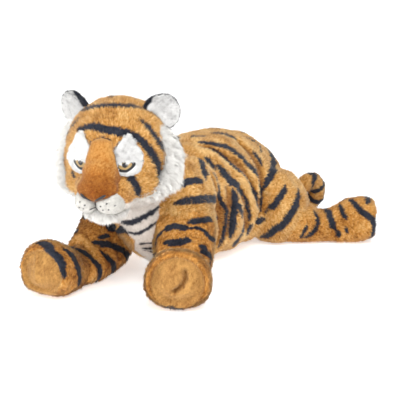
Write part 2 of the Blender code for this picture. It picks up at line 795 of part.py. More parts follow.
def panel_mesh(extra):
    """A long wedge that parts the pale panel from the back: low at the rump, high at the chest."""
    wide = BELLY_PANEL_HALF_WIDTH + extra
    front = CHEST_FRONT - OVERRUN
    rear = CHEST_FRONT + TRUNK_LENGTH + OVERRUN
    chest = BELLY_PANEL_CHEST + extra
    rump = BELLY_PANEL_RUMP + extra
    bm = bmesh.new()
    corners = []
    for y, top in ((front, chest), (rear, rump)):
        corners.append([bm.verts.new((x, y, z)) for x, z in (
            (-wide, -OVERRUN), (wide, -OVERRUN), (wide, top), (-wide, top))])
    bm.faces.new(corners[0])
    bm.faces.new(corners[1])
    bridge(bm, corners)
    bmesh.ops.recalc_face_normals(bm, faces=bm.faces)
    return bm


def socket_forms():
    """The hollows in the trunk for the neck, the legs and the tail."""
    yield "neck_socket", ball_socket(neck_middle(), NECK_RADIUS, "Y")
    for side, sign in (("left", 1), ("right", -1)):
        yield side + "_shoulder_socket", leg_socket(
            FRONT_ROOT_SIDE * sign, FRONT_ROOT_BACK, FRONT_ROOT_HEIGHT, FRONT_ROOT_RADIUS,
            FRONT_ROOT_HALF_HEIGHT)
        yield side + "_hip_socket", leg_socket(
            HIND_ROOT_SIDE * sign, HIND_ROOT_BACK, HIND_ROOT_HEIGHT, HIND_ROOT_RADIUS,
            HIND_ROOT_HALF_HEIGHT)
    yield "tail_socket", ball_socket(Vector((0, TAIL_ROOT_BACK, TAIL_ROOT_HEIGHT)),
                                     TAIL_ROOT_RADIUS)


def shoulder_rooms():
    """Room in the chest for each front leg at the inner end of its swing."""
    for name, leg, root, heading in leg_forms():
        if name.endswith("front"):
            inward = math.radians(FRONT_INWARD_DEG)
            if root.x > 0:
                inward = -inward
            swing = Matrix.Rotation(inward, 3, "Z")
            yield name + "_room", turned(leg.moved_in(-SEAM_GAP).mesh(), swing, root)


def build_neck(finishes):
    """The neck: a stuffed ball in a fabric sleeve, on which the head turns and nods."""
    outer = egg(neck_middle(), (NECK_RADIUS,) * 6, NECK_SIDES, NECK_RINGS, "Y")
    lining = outer.moved_in(PILE_FABRIC)
    filling = outer.moved_in(PILE_FABRIC + SEWN_GAP)
    add_object("neck_cover", sleeve_mesh(outer, lining, 1, len(outer.rings) - 1),
               finishes["plush"], neck_middle())
    add_object("neck_filling", filling.mesh(), finishes["filling"], neck_middle())


def build_head(finishes):
    """Head cover and filling, then every sewn piece of the face."""
    outer = head_form()
    cover = head_piece("head_cover", outer.mesh(), finishes["plush"])
    cut(cover, head_cutter("head_hollow", outer.moved_in(PILE_FABRIC).mesh()))
    filling = head_piece("head_filling", outer.moved_in(PILE_FABRIC + SEWN_GAP).mesh(),
                         finishes["filling"])
    for thing in (cover, filling):
        cut(thing, bpy.data.objects["neck_socket"])
    skin = head_cutter("head_room", outer.moved_in(-SEWN_GAP).mesh())
    middle = Vector((0, HEAD_BACK, HEAD_HEIGHT))
    nose = bridge_form()
    bridge_piece = head_piece("nose_bridge", nose.mesh(), finishes["nose"])
    cut(bridge_piece, skin)
    nose_room = head_cutter("nose_room", nose.moved_in(-SEWN_GAP).mesh())
    pads = []
    for side, sign in (("left", 1), ("right", -1)):
        radii = [MUZZLE_HALF_WIDTH] * 2 + [MUZZLE_HALF_DEPTH] * 2 + [MUZZLE_HALF_HEIGHT] * 2
        radii[0 if sign > 0 else 1] = MUZZLE_SIDE - SEWN_GAP / 2
        place = middle + Vector((MUZZLE_SIDE * sign, -MUZZLE_REACH, -MUZZLE_DROP))
        form = egg(place, radii, PAD_SIDES, PAD_RINGS)
        pad = head_piece(side + "_muzzle", form.mesh(), finishes["white"])
        cut(pad, skin)
        cut(pad, nose_room)
        pads.append(head_cutter(side + "_muzzle_room", form.moved_in(-SEWN_GAP).mesh()))
    place = middle + Vector((0, -CHIN_REACH, -CHIN_DROP))
    chin_radii = [CHIN_HALF_WIDTH] * 2 + [CHIN_HALF_DEPTH] * 2 + [CHIN_HALF_HEIGHT] * 2
    chin_shape = egg(place, chin_radii, PAD_SIDES, PAD_RINGS)
    chin = head_piece("chin_panel", chin_shape.mesh(), finishes["white"])
    chin_room = head_cutter("chin_room", chin_shape.moved_in(-SEWN_GAP).mesh())
    for cutter in [skin, nose_room] + pads:
        cut(chin, cutter)
    for side, sign in (("left", 1), ("right", -1)):
        ruff = head_piece(side + "_ruff", ruff_form(sign).mesh(), finishes["white"])
        for cutter in [skin, chin_room] + pads:
            cut(ruff, cutter)
        build_eye(side, sign, finishes, nose_room)
        build_ear(side, sign, finishes, outer.moved_in(-SEWN_GAP))


def build_eye(side, sign, finishes, nose_room):
    """The white patch with its stitched iris, pupil and lower lid, each over the last."""
    place = EYE_SIDE * sign
    lift = 2 * SEWN_GAP
    patch = head_piece(side + "_eye_patch",
                       sewn_on_head(place, EYE_RISE, teardrop, lift, PILE_FABRIC),
                       finishes["white"])
    cut(patch, nose_room)
    lift += PILE_FABRIC + SEWN_GAP
    iris = lens_outline(IRIS_HALF_WIDTH, IRIS_HALF_HEIGHT)
    head_piece(side + "_iris", sewn_on_head(place, EYE_RISE, iris, lift, STITCH_THICKNESS),
               finishes["iris"])
    lower = EYE_RISE - IRIS_HALF_HEIGHT - LID_SAG / 2
    head_piece(side + "_lid", lid_mesh(place, lower, lift), finishes["stripe"])
    lift += STITCH_THICKNESS + SEWN_GAP
    pupil = lens_outline(PUPIL_RADIUS, PUPIL_RADIUS)
    head_piece(side + "_pupil", sewn_on_head(place, EYE_RISE + PUPIL_RADIUS / 3, pupil, lift,
                                             STITCH_THICKNESS, PUPIL_SIDES), finishes["stripe"])


def lid_mesh(place, lower, lift):
    """The dark line under an eye: a band that sags between its two ends."""
    bm = bmesh.new()
    loops = []
    for j in range(LID_STEPS + 1):
        share = 2 * j / LID_STEPS - 1
        side = place + share * LID_HALF_WIDTH
        rise = lower + LID_SAG * share * share
        half = LID_THICKNESS / 2 * (1 - LID_TAPER_SHARE * share * share)
        corners = ((-half, 0), (half, 0), (half, STITCH_THICKNESS), (-half, STITCH_THICKNESS))
        loops.append([bm.verts.new(on_head(side, rise + up, lift + out)) for up, out in corners])
    bm.faces.new(loops[0])
    bm.faces.new(loops[-1])
    bridge(bm, loops)
    bmesh.ops.recalc_face_normals(bm, faces=bm.faces)
    return bm


def build_ear(side, sign, finishes, skin):
    """White front and black back of an ear, cut by the head at rest and folded back."""
    across, back, up, root = ear_frame(sign)
    fold = Matrix.Rotation(math.radians(EAR_FOLD_DEG), 3, across)
    rest = head_cutter(side + "_ear_seat", skin.mesh())
    folded = head_cutter(side + "_ear_fold_room", turned(skin.mesh(), fold, root))
    hinge = neck_middle() + Matrix.Rotation(math.radians(HEAD_TURN_DEG), 3, "Z") @ (
        root - neck_middle())
    for name, depth, finish in (("_ear_back", EAR_BACK_DEPTH, "stripe"),
                                ("_ear_front", -EAR_FRONT_DEPTH, "white")):
        ear = head_piece(side + name, ear_mesh(sign, depth), finishes[finish], hinge)
        cut(ear, rest)
        cut(ear, folded)


def build_leg(name, leg, root, heading, finishes):
    """Cover, filling and sole of one leg, on its upright hinge."""
    lining = leg.moved_in(PILE_FABRIC)
    add_object(name + "_leg_cover", cut_flat(sleeve_mesh(leg, lining, 0, len(leg.rings))),
               finishes["plush"], root)
    add_object(name + "_leg_filling", leg_filling(leg, heading).mesh(), finishes["filling"], root)
    add_object(name + "_sole", sole_mesh(leg, heading), finishes["sole"], root)


def leg_forms():
    """Name, form, root and heading of each leg."""
    legs = []
    for side, sign, splay, reach, wide, tall in (
            ("left", 1, LEFT_FRONT_SPLAY_DEG, LEFT_FRONT_REACH, LEFT_PAW_HALF_WIDTH,
             LEFT_PAW_HEIGHT),
            ("right", -1, RIGHT_FRONT_SPLAY_DEG, RIGHT_FRONT_REACH, RIGHT_PAW_HALF_WIDTH,
             RIGHT_PAW_HEIGHT)):
        front = Vector((FRONT_ROOT_SIDE * sign, FRONT_ROOT_BACK, FRONT_ROOT_HEIGHT))
        hind = Vector((HIND_ROOT_SIDE * sign, HIND_ROOT_BACK, HIND_ROOT_HEIGHT))
        front_heading = level_heading(splay * sign)
        hind_heading = level_heading(HIND_SPLAY_DEG * sign)
        front_form = leg_form(front, front_heading, FRONT_ROOT_RADIUS, FRONT_ROOT_HALF_HEIGHT,
                              reach, wide, tall, FRONT_LEG_SHARES)
        hind_form = leg_form(hind, hind_heading, HIND_ROOT_RADIUS, HIND_ROOT_HALF_HEIGHT,
                             HIND_REACH, HIND_PAW_HALF_WIDTH, HIND_PAW_HEIGHT,
                             HIND_LEG_SHARES)
        legs.append((side + "_front", front_form, front, front_heading))
        legs.append((side + "_hind", hind_form, hind, hind_heading))
    return legs


def level_heading(degrees):
    """A level direction, turned from straight ahead towards the left."""
    angle = math.radians(degrees)
    return Vector((math.sin(angle), -math.cos(angle), 0))


def build_tail(finishes):
    """Cover and filling of the tail."""
    root = Vector((0, TAIL_ROOT_BACK, TAIL_ROOT_HEIGHT))
    add_object("tail_cover", sock_mesh(tail_form(), tail_form(PILE_FABRIC), 0), finishes["plush"],
               root)
    add_object("tail_filling", tail_form(PILE_FABRIC + SEWN_GAP).mesh(), finishes["filling"],
               root)


def main():
    clear_scene()
    finishes = {
        "plush": material("orange_plush", ORANGE, 0.9),
        "nose": material("nose_plush", NOSE_ORANGE, 0.85),
        "white": material("white_plush", WHITE, 0.9),
        "chest": material("chest_plush", CHEST_WHITE, 0.9),
        "stripe": material("dark_stitching", STRIPE, 0.7),
        "iris": material("amber_stitching", AMBER, 0.6),
        "sole": material("sole_plush", SOLE_TAN, 0.9),
        "filling": material("polyester_filling", POLYESTER, 0.95),
    }
    build_trunk(finishes)
    build_neck(finishes)
    build_head(finishes)
    for name, leg, root, heading in leg_forms():
        build_leg(name, leg, root, heading, finishes)
    build_tail(finishes)


main()
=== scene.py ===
import json
import math

import bmesh
import bpy
import numpy as np
from mathutils import Matrix, Vector
from mathutils.bvhtree import BVHTree
from mathutils.kdtree import KDTree


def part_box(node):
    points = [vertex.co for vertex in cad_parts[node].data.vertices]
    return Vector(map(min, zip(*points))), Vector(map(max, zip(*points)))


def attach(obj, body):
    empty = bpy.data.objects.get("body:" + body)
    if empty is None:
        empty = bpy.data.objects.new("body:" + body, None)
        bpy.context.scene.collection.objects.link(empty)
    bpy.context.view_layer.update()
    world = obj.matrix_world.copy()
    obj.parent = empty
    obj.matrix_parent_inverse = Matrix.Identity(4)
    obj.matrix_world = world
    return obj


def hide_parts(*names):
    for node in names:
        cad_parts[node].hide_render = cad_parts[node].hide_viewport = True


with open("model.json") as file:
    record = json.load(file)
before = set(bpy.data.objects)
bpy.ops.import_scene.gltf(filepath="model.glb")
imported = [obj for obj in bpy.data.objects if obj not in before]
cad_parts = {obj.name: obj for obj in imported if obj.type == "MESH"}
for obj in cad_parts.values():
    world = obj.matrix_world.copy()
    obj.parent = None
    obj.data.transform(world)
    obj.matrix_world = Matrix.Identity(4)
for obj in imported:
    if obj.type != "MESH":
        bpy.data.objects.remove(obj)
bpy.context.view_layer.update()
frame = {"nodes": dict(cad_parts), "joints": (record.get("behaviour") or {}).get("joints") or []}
NODES = frame["nodes"]
JOINTS = {joint["name"]: joint for joint in frame["joints"]}

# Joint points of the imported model, in metres
NECK = np.array(JOINTS["neck_turn"]["pos_m"])
LEGS = {name: np.array(JOINTS[name + "_swing"]["pos_m"]) for name in (
    "left_front_leg", "right_front_leg", "left_hind_leg", "right_hind_leg")}

# The head's own frame: SIDE is its left and AHEAD is where it looks
HEAD_TURN = math.radians(16.0)
SIDE = np.array((math.cos(HEAD_TURN), math.sin(HEAD_TURN), 0.0))
AHEAD = np.array((math.sin(HEAD_TURN), -math.cos(HEAD_TURN), 0.0))
UP = np.array((0.0, 0.0, 1.0))
HEAD = NECK + AHEAD * 0.092 + UP * 0.053


def head_point(side, ahead, up):
    """A point given in the head's own frame, in metres."""
    return HEAD + SIDE * side + AHEAD * ahead + UP * up


# Meshes and numbers

FLOOR_GAP = 0.0006
STANDS_FOR, LOOKS = {}, {}


def link(name, data):
    thing = bpy.data.objects.new(name, data)
    bpy.context.scene.collection.objects.link(thing)
    return thing


def get(rows, key, kind=np.float32):
    """One value of every element of a mesh, three numbers to a row."""
    values = np.empty(len(rows) * 3, kind)
    rows.foreach_get(key, values)
    return values.reshape(-1, 3)


def put(rows, key, values, kind=np.float32):
    rows.foreach_set(key, np.asarray(values, kind).ravel())


def coords(mesh):
    return get(mesh.vertices, "co").astype(float)


def normals(mesh):
    return get(mesh.vertex_normals, "vector").astype(float)


def triangles(mesh):
    mesh.calc_loop_triangles()
    return get(mesh.loop_triangles, "vertices", np.int32)


def set_coords(mesh, places):
    put(mesh.vertices, "co", places)
    mesh.update()


def above(places, height=FLOOR_GAP):
    """The same places, none of them lower than a height."""
    places[:, 2] = np.maximum(places[:, 2], height)
    return places


def unit(vectors):
    return vectors / np.maximum(np.linalg.norm(vectors, axis=-1, keepdims=True), 1e-9)


def waves(points, scale, seed):
    """A smooth random number from about -1 to 1 at each point; scale is a lump's size."""
    count, level, full_turn = 9, 3.6, 6.28
    rng = np.random.default_rng(seed)
    total = np.zeros(len(points))
    for _ in range(count):
        way = unit(rng.normal(size=3))
        pitch = (0.7 + 0.8 * rng.random()) * math.pi / scale
        bend = unit(rng.normal(size=3)) * 0.7 / scale
        total += np.sin(points @ way * pitch + rng.random() * full_turn
                        + 1.6 * np.sin(points @ bend + rng.random() * full_turn))
    return total / level


def ease(values, low, high):
    """A smooth step from 0 at low to 1 at high."""
    share = np.clip((values - low) / (high - low), 0, 1)
    return share * share * (3 - 2 * share)


def clay(name, nodes, balls, voxel, smooth, turn=Matrix.Identity(3)):
    """One closed form fused from CAD nodes and ellipsoids, remeshed and smoothed."""
    whole = bmesh.new()
    for node in nodes:
        whole.from_mesh(NODES[node].data)
    for centre, radii in balls:
        ball = bmesh.ops.create_uvsphere(whole, u_segments=32, v_segments=20, radius=1)
        for vert in ball["verts"]:
            vert.co = Vector(centre) + turn @ (Vector(radii) * vert.co)
    mesh = bpy.data.meshes.new(name)
    whole.to_mesh(mesh)
    whole.free()
    rough = link(name + "_rough", mesh)
    remesh = rough.modifiers.new("remesh", "REMESH")
    remesh.mode = "VOXEL"
    remesh.voxel_size = voxel
    relax = rough.modifiers.new("relax", "SMOOTH")
    relax.factor = 0.5
    relax.iterations = smooth
    graph = bpy.context.evaluated_depsgraph_get()
    final = bpy.data.meshes.new_from_object(rough.evaluated_get(graph))
    bpy.data.objects.remove(rough)
    bpy.data.meshes.remove(mesh)
    final.name = name
    STANDS_FOR[name] = nodes
    return link(name, final)


def swell(thing, depth):
    """Moves a skin outwards along its normals."""
    mesh = thing.data
    set_coords(mesh, coords(mesh) + normals(mesh) * np.asarray(depth).reshape(-1, 1))


def tree_of(thing):
    mesh = thing.data
    return BVHTree.FromPolygons([vert.co for vert in mesh.vertices],
                                [tuple(face) for face in triangles(mesh)])


def finder(points):
    """A tree that finds the nearest of the points."""
    tree = KDTree(len(points))
    for k, point in enumerate(points):
        tree.insert(point, k)
    tree.balance()
    return tree


# Stripes

class Wrap:
    """Places on a skin, given along an axis in millimetres and round it in degrees from the top."""

    def __init__(self, thing, origin, axis, right):
        self.tree = tree_of(thing)
        self.origin = Vector(origin)
        self.axis = Vector(axis).normalized()
        self.right = Vector(right).normalized()
        self.up = self.right.cross(self.axis).normalized()
        if self.up.z < 0:
            self.up = -self.up

    def point(self, along, around):
        turn = math.radians(around)
        out = self.up * math.cos(turn) + self.right * math.sin(turn)
        start = self.origin + self.axis * (along / 1000)
        hit = self.tree.ray_cast(start + out * 0.5, -out)[0]
        return hit if hit is not None else start


class Globe:
    """Places on a round skin, by the direction from its middle: degrees to its left and up."""

    def __init__(self, thing, middle, ahead, side):
        self.tree = tree_of(thing)
        self.middle, self.ahead, self.side = (np.array(part, float)
                                              for part in (middle, ahead, side))

    def point(self, side, rise):
        side, rise = math.radians(side), math.radians(rise)
        out = Vector(self.ahead * math.cos(side) * math.cos(rise)
                     + self.side * math.sin(side) * math.cos(rise) + UP * math.sin(rise))
        hit = self.tree.ray_cast(Vector(self.middle) + out * 0.4, -out)[0]
        return hit if hit is not None else Vector(self.middle) + out * 0.09


def curve(wrap, marks, step=0.002):
    """Points of a skin along a smooth line through marks."""
    marks = np.array(marks, float)
    ends = [wrap.point(*mark) for mark in marks]
    line = []
    for k in range(len(marks) - 1):
        before, one = marks[max(k - 1, 0)], marks[k]
        two, after = marks[k + 1], marks[min(k + 2, len(marks) - 1)]
        count = max(2, int((ends[k + 1] - ends[k]).length / step))
        for t in np.arange(count) / count:
            line.append(wrap.point(*(0.5 * (
                2 * one + (two - before) * t + (2 * before - 5 * one + 4 * two - after) * t * t
                + (3 * one - before - 3 * two + after) * t * t * t))))
    return line + [ends[-1]]


class Lines:
    """Stripes or seams on a skin: how far inside the nearest one a point lies, in metres."""

    def __init__(self, *pairs):
        places, half = [], []
        for wrap, table in pairs:
            for width, *marks in table:
                line = curve(wrap, marks)
                last = len(line) - 1
                for k, point in enumerate(line):
                    taper = min(1.0, 0.45 + 3.0 * min(k, last - k) / last)
                    places.append(point)
                    half.append(width / 1700 * taper)
        self.tree, self.half = finder(places), np.array(half)

    def inside(self, points):
        found = np.array([self.tree.find(point)[1:] for point in points])
        return self.half[found[:, 0].astype(int)] - found[:, 1]


class Bands:
    """Rings round a curling piece, at lengths along its middle line."""

    def __init__(self, route, bands):
        marks = [route[0]]
        for one, two in zip(route, route[1:]):
            marks += [one + (two - one) * t for t in np.arange(0.05, 1.01, 0.05)]
        steps = np.linalg.norm(np.diff(marks, axis=0), axis=1)
        self.along = np.concatenate(([0.0], np.cumsum(steps)))
        self.tree, self.bands = finder(marks), bands

    def inside(self, points):
        along = self.along[[self.tree.find(point)[1] for point in points]]
        along = along + 0.002 * waves(points, 0.012, 9)
        return np.max([half - np.abs(along - place) for place, half in self.bands], axis=0)


# Materials

def nodes_of(name):
    material = bpy.data.materials.new(name)
    material.use_nodes = True
    tree = material.node_tree
    return material, tree, tree.nodes["Principled BSDF"]


def add(tree, kind, **values):
    node = tree.nodes.new(kind)
    for key, value in values.items():
        if key in node.inputs.keys():
            node.inputs[key].default_value = value
        else:
            setattr(node, key, value)
    return node


def feed(tree, socket, value):
    """Links a socket to another one, or gives it a value."""
    if isinstance(value, bpy.types.NodeSocket):
        tree.links.new(value, socket)
    else:
        socket.default_value = value


def mix(tree, factor, one, two):
    """A colour mix; each of the three is a socket or a value."""
    node = add(tree, "ShaderNodeMix", data_type="RGBA")
    for place, value in ((0, factor), (6, one), (7, two)):
        feed(tree, node.inputs[place], value)
    return node.outputs[2]


def scaled(tree, source, factor, plus):
    """A socket times a factor, plus a socket or a number."""
    node = add(tree, "ShaderNodeMath", operation="MULTIPLY_ADD")
    for place, value in enumerate((source, factor, plus)):
        feed(tree, node.inputs[place], value)
    return node.outputs[0]


def linear(red, green, blue):
    """A colour given as seen on a screen, 0 to 255."""
    return tuple((c / 255) ** 2.2 for c in (red, green, blue)) + (1.0,)


def noise(tree, scale, detail=3.0, vector=None):
    node = add(tree, "ShaderNodeTexNoise", Scale=scale, Detail=detail, Roughness=0.6)
    if vector is not None:
        tree.links.new(vector, node.inputs["Vector"])
    return node.outputs[0]


def ramp(tree, source, places, colours):
    node = tree.nodes.new("ShaderNodeValToRGB")
    elements = node.color_ramp.elements
    while len(elements) < len(places):
        elements.new(0.5)
    for element, place, colour in zip(elements, places, colours):
        element.position = place
        element.color = colour if len(colour) == 4 else linear(*colour)
    tree.links.new(source, node.inputs[0])
    return node.outputs[0]


def relief(tree, shader, height, strength, distance, normal=None):
    """Raises a surface in its shading by a height socket."""
    bumps = add(tree, "ShaderNodeBump", Strength=strength, Distance=distance)
    tree.links.new(height, bumps.inputs["Height"])
    if normal is not None:
        tree.links.new(normal, bumps.inputs["Normal"])
    tree.links.new(bumps.outputs[0], shader.inputs["Normal"])


def surface(shader, **values):
    """Sets the shader's own sockets; an underscore in a name stands for a space."""
    for key, value in values.items():
        shader.inputs[key.replace("_", " ")].default_value = value


def plush(name, colours, dark=None, pale=None, sheen=0.1, bump=0.25):
    """Pile: attribute coat holds stripe, random shade with painted shade and light, way up the
    pile, and pale share. The way up the pile paints shade at the roots and a highlight at the tips.
    """
    material, tree, shader = nodes_of(name)
    coat = add(tree, "ShaderNodeAttribute", attribute_name="coat")
    rest = add(tree, "ShaderNodeAttribute", attribute_name="rest").outputs["Vector"]
    parts = tree.nodes.new("ShaderNodeSeparateColor")
    tree.links.new(coat.outputs["Color"], parts.inputs[0])
    stripe, shade, height = parts.outputs[0], parts.outputs[1], parts.outputs[2]
    broad = scaled(tree, noise(tree, 22.0, 4.0, rest), 0.35, -0.28)
    fine = scaled(tree, noise(tree, 160.0, 3.0, rest), 0.30, broad)
    # Painted shade and highlight: the tone rises from the roots of the pile to its tips
    tone = scaled(tree, shade, 0.62, scaled(tree, height, 0.34, fine))
    colour = ramp(tree, tone, (0.05, 0.42, 0.85), colours)
    if pale is not None:
        colour = mix(tree, coat.outputs["Alpha"], colour, ramp(tree, tone, (0.0, 0.7), pale))
    if dark is not None:
        colour = mix(tree, stripe, colour, ramp(tree, tone, (0.1, 0.9), dark))
    tree.links.new(colour, shader.inputs["Base Color"])
    surface(shader, Roughness=0.9, Sheen_Weight=sheen, Sheen_Roughness=0.5,
            Specular_IOR_Level=0.2)
    outward = add(tree, "ShaderNodeAttribute", attribute_name="outward")
    turned = add(tree, "ShaderNodeVectorTransform", vector_type="NORMAL", convert_from="OBJECT",
                 convert_to="WORLD")
    tree.links.new(outward.outputs["Vector"], turned.inputs[0])
    relief(tree, shader, noise(tree, 420.0, 2.0, rest), bump, 0.0015, turned.outputs[0])
    return material


def thread(name, dark, light):
    """Satin stitches: fine parallel ridges."""
    material, tree, shader = nodes_of(name)
    place = tree.nodes.new("ShaderNodeTexCoord")
    wave = add(tree, "ShaderNodeTexWave", Scale=900.0, Distortion=1.5, bands_direction="Z")
    tree.links.new(place.outputs["Object"], wave.inputs["Vector"])
    colour = ramp(tree, wave.outputs["Color"], (0.0, 1.0), (dark, light))
    tree.links.new(colour, shader.inputs["Base Color"])
    surface(shader, Roughness=0.45, Sheen_Weight=0.2)
    relief(tree, shader, wave.outputs["Color"], 0.4, 0.0004)
    return material


# Colours as seen on a screen, from the painted shade deep in the pile to the painted highlight of
# its tips
NAVY = ((26, 29, 38), (64, 66, 76))
FLEECE = ((186, 177, 168), (231, 225, 218))
SOLE_TAN = ((122, 76, 34), (208, 158, 92))
ORANGE = plush("orange_pile", ((106, 60, 22), (192, 137, 70), (244, 206, 142)), NAVY, FLEECE,
               0.12, 0.3)
PAW = plush("paw_pile", ((106, 58, 17), (194, 133, 63), (242, 198, 128)), NAVY, SOLE_TAN, 0.12, 0.3)
NOSE = plush("nose_pile", ((112, 58, 16), (160, 99, 40), (206, 153, 85)), NAVY, bump=0.12)
SNOW = plush("snow_pile", ((196, 195, 192), (228, 227, 225), (242, 241, 239)), NAVY)
CREAM = plush("cream_pile", ((172, 169, 162), (204, 201, 194), (223, 220, 214)), NAVY, bump=0.2)
WHITE = plush("white_pile", ((168, 164, 157), (217, 214, 208), (240, 238, 233)), NAVY)
BLACK = plush("black_pile", ((14, 15, 19), (28, 29, 35), (58, 59, 68)), bump=0.3)
THREADS = {"dark_stitching": thread("black_thread", (14, 14, 18), (38, 38, 44)),
           "amber_stitching": thread("amber_thread", (132, 100, 56), (196, 166, 108))}


# Coats and pile

def store(mesh, name, values):
    """Keeps a vector for each vertex."""
    put(mesh.attributes.new(name, "FLOAT_VECTOR", "POINT").data, "vector", values)


def store_coat(mesh, coat):
    put(mesh.color_attributes.new("coat", "FLOAT_COLOR", "POINT").data, "color", coat)


def coat_at(points, spec, seed):
    """Stripe, shade with the spec's painted shade and light, height in the pile and pale share at
    points of a skin.
    """
    edge = 0.0006
    rng = np.random.default_rng(seed)
    out = np.zeros((len(points), 4))
    if "stripes" in spec:
        depth = spec["stripes"].inside(points) + rng.normal(size=len(points)) * edge + waves(
            points, 0.007, 5) * edge
        out[:, 0] = ease(depth, -edge, edge)
    if "plain" in spec:
        out[:, 0] *= 1 - spec["plain"](points)
    out[:, 1] = 0.5 + 0.17 * waves(points, 0.0032, 7) + 0.13 * waves(points, 0.018, 8)
    out[:, 1] += 0.13 * rng.normal(size=len(points))
    # The spec's shade darkens or lightens the pile: painted shade in creases and seams, painted
    # light on crests and swells, a slight painted shade on the head and ears, and a darker nose tip
    if "shade" in spec:
        out[:, 1] -= spec["shade"](points)
    out[:, 1] = np.clip(out[:, 1], 0, 1)
    if "pale" in spec:
        out[:, 3] = spec["pale"](points)
    return out


def mount(thing, body, material):
    """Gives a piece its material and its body."""
    thing.data.materials.clear()
    thing.data.materials.append(material)
    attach(thing, body)


def dress(skin, body, material, spec=None, slot="orange_plush"):
    """Finishes a stuffed skin: coat, material, body and what it stands for."""
    mesh, spec = skin.data, spec or {}
    store_coat(mesh, coat_at(coords(mesh), spec, 3))
    store(mesh, "rest", coords(mesh))
    store(mesh, "outward", normals(mesh))
    mesh.shade_smooth()
    mount(skin, body, material)
    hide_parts(*STANDS_FOR[skin.name])
    LOOKS[skin.name] = body, material, slot, spec


# A blade of pile: how high each corner is, where it lies in its cell of the map, and its triangles
SHORT_BLADE = ((0.0, 0.0, 1.0), ((0.15, 0.15), (0.85, 0.15), (0.5, 0.9)), ((1, 0, 2),))
LONG_BLADE = ((0.0, 0.0, 0.55, 0.55, 1.0),
              ((0.15, 0.15), (0.85, 0.15), (0.15, 0.55), (0.85, 0.55), (0.5, 0.9)),
              ((1, 0, 3), (3, 0, 2), (3, 2, 4)))
# The length and width of a blade, in metres
BODY_PILE = (0.0054, 0.0011)
SHORT_PILE = (0.0026, 0.0009)


def pile(name, skin, count, length, width, flow, seed, lean=0.75, curl=0.35, where=None,
         tuft=0.0044, long_tips=False, slot=None):
    """Pile on a dressed skin: thin blades that lean along a flow, gathered in small tufts."""
    body, material, skin_slot, spec = LOOKS[skin.name]
    rng = np.random.default_rng(seed)
    mesh = skin.data
    places, ups, faces = coords(mesh), normals(mesh), triangles(mesh)
    a, b, c = places[faces[:, 0]], places[faces[:, 1]], places[faces[:, 2]]
    weight = np.linalg.norm(np.cross(b - a, c - a), axis=1) / 2
    if where is not None:
        weight *= where((a + b + c) / 3)
    pick = np.searchsorted(np.cumsum(weight) / weight.sum(), rng.random(count))
    face = faces[np.minimum(pick, len(faces) - 1)]
    u, v = rng.random(count), rng.random(count)
    flip = u + v > 1
    u[flip], v[flip] = 1 - u[flip], 1 - v[flip]
    shares = np.stack((1 - u - v, u, v), axis=1)[:, :, None]
    root = np.sum(places[face] * shares, axis=1)
    up = unit(np.sum(ups[face] * shares, axis=1))
    nap = flow(root, up)
    nap = unit(nap - up * np.sum(nap * up, axis=1, keepdims=True))
    side = np.cross(up, nap)
    twist = waves(root, tuft, seed + 10)[:, None] * curl + rng.normal(size=(count, 1)) * curl * 0.5
    stand = waves(root, tuft * 1.3, seed + 20)[:, None] * 0.25 + rng.normal(size=(count, 1)) * 0.12
    slope = np.clip(lean + stand, 0.1, 1.4)
    way = unit(up * np.cos(slope) + (nap + side * twist) * np.sin(slope))
    size = length * (0.75 + 0.5 * rng.random((count, 1)))
    across = unit(np.cross(up, way)) * width * (0.7 + 0.6 * rng.random((count, 1)))
    base = above(root - up * 0.0006, FLOOR_GAP / 2)
    rows = [base - across / 2, base + across / 2]
    coat = coat_at(root, spec, seed + 30)
    if long_tips:
        gather = 0.5 + 0.5 * waves(root, 0.0055, seed + 40)[:, None]
        size = size * (0.55 + 0.75 * gather)
        # Painted shade between the tufts: short blades are darker and long ones lighter
        coat[:, 1] -= 0.35 * (0.5 - gather[:, 0])
        middle = above(root + way * size * 0.55 + up * size * 0.06)
        rows += [middle - across * 0.38, middle + across * 0.38,
                 above(root + way * size - UP * size * 0.18)]
    else:
        rows.append(above(root + way * size))
    heights, spots, corners = LONG_BLADE if long_tips else SHORT_BLADE
    ok = root[:, 2] > 0.0025
    coat, up, way, root = coat[ok], up[ok], way[ok], root[ok]
    points = np.stack(rows, axis=1)[ok].reshape(-1, 3)
    total, each = len(root), len(rows)
    tris = (np.arange(total)[:, None, None] * each + np.array(corners)).reshape(-1, 3)
    blades = bpy.data.meshes.new(name)
    blades.vertices.add(len(points))
    put(blades.vertices, "co", points)
    blades.loops.add(len(tris) * 3)
    put(blades.loops, "vertex_index", tris, np.int32)
    blades.polygons.add(len(tris))
    put(blades.polygons, "loop_start", np.arange(0, len(tris) * 3, 3), np.int32)
    put(blades.polygons, "loop_total", np.full(len(tris), 3), np.int32)
    blades.update(calc_edges=True)
    coat = np.repeat(coat, each, axis=0)
    # The way up each blade, which paints shade at its root and a highlight at its tip
    coat[:, 2] = np.tile(heights, total)
    store_coat(blades, coat)
    store(blades, "rest", np.repeat(root, each, axis=0))
    cells = math.ceil(math.sqrt(total))
    cell = np.stack((np.arange(total) % cells, np.arange(total) // cells), axis=1)
    uv = ((cell[:, None, :] + np.array(spots)) / cells).reshape(-1, 2)
    put(blades.uv_layers.new(name="OFBake").data, "uv", uv[tris.ravel()])
    blades.shade_smooth()
    bend = unit(up * 0.75 + way * 0.25 * 0.8 + rng.normal(size=(total, 3)) * 0.12)
    bend = np.repeat(bend, each, axis=0)
    blades.normals_split_custom_set_from_vertices(bend)
    store(blades, "outward", bend)
    mount(link(name, blades), body, material)


def toward(direction, fall=0.0):
    """A flow along one direction, drooping by a share."""
    way = np.array(direction, float)
    return lambda points, ups: np.tile(way, (len(points), 1)) - UP * fall


def clear_of(things, reach):
    """1 where a skin is free of the pieces sewn on it, 0 under and beside them."""
    trees = [tree_of(thing) for thing in things]

    def free(points):
        return np.array([all(tree.find_nearest(Vector(point), reach)[0] is None for tree in trees)
                         for point in points], float)

    return free


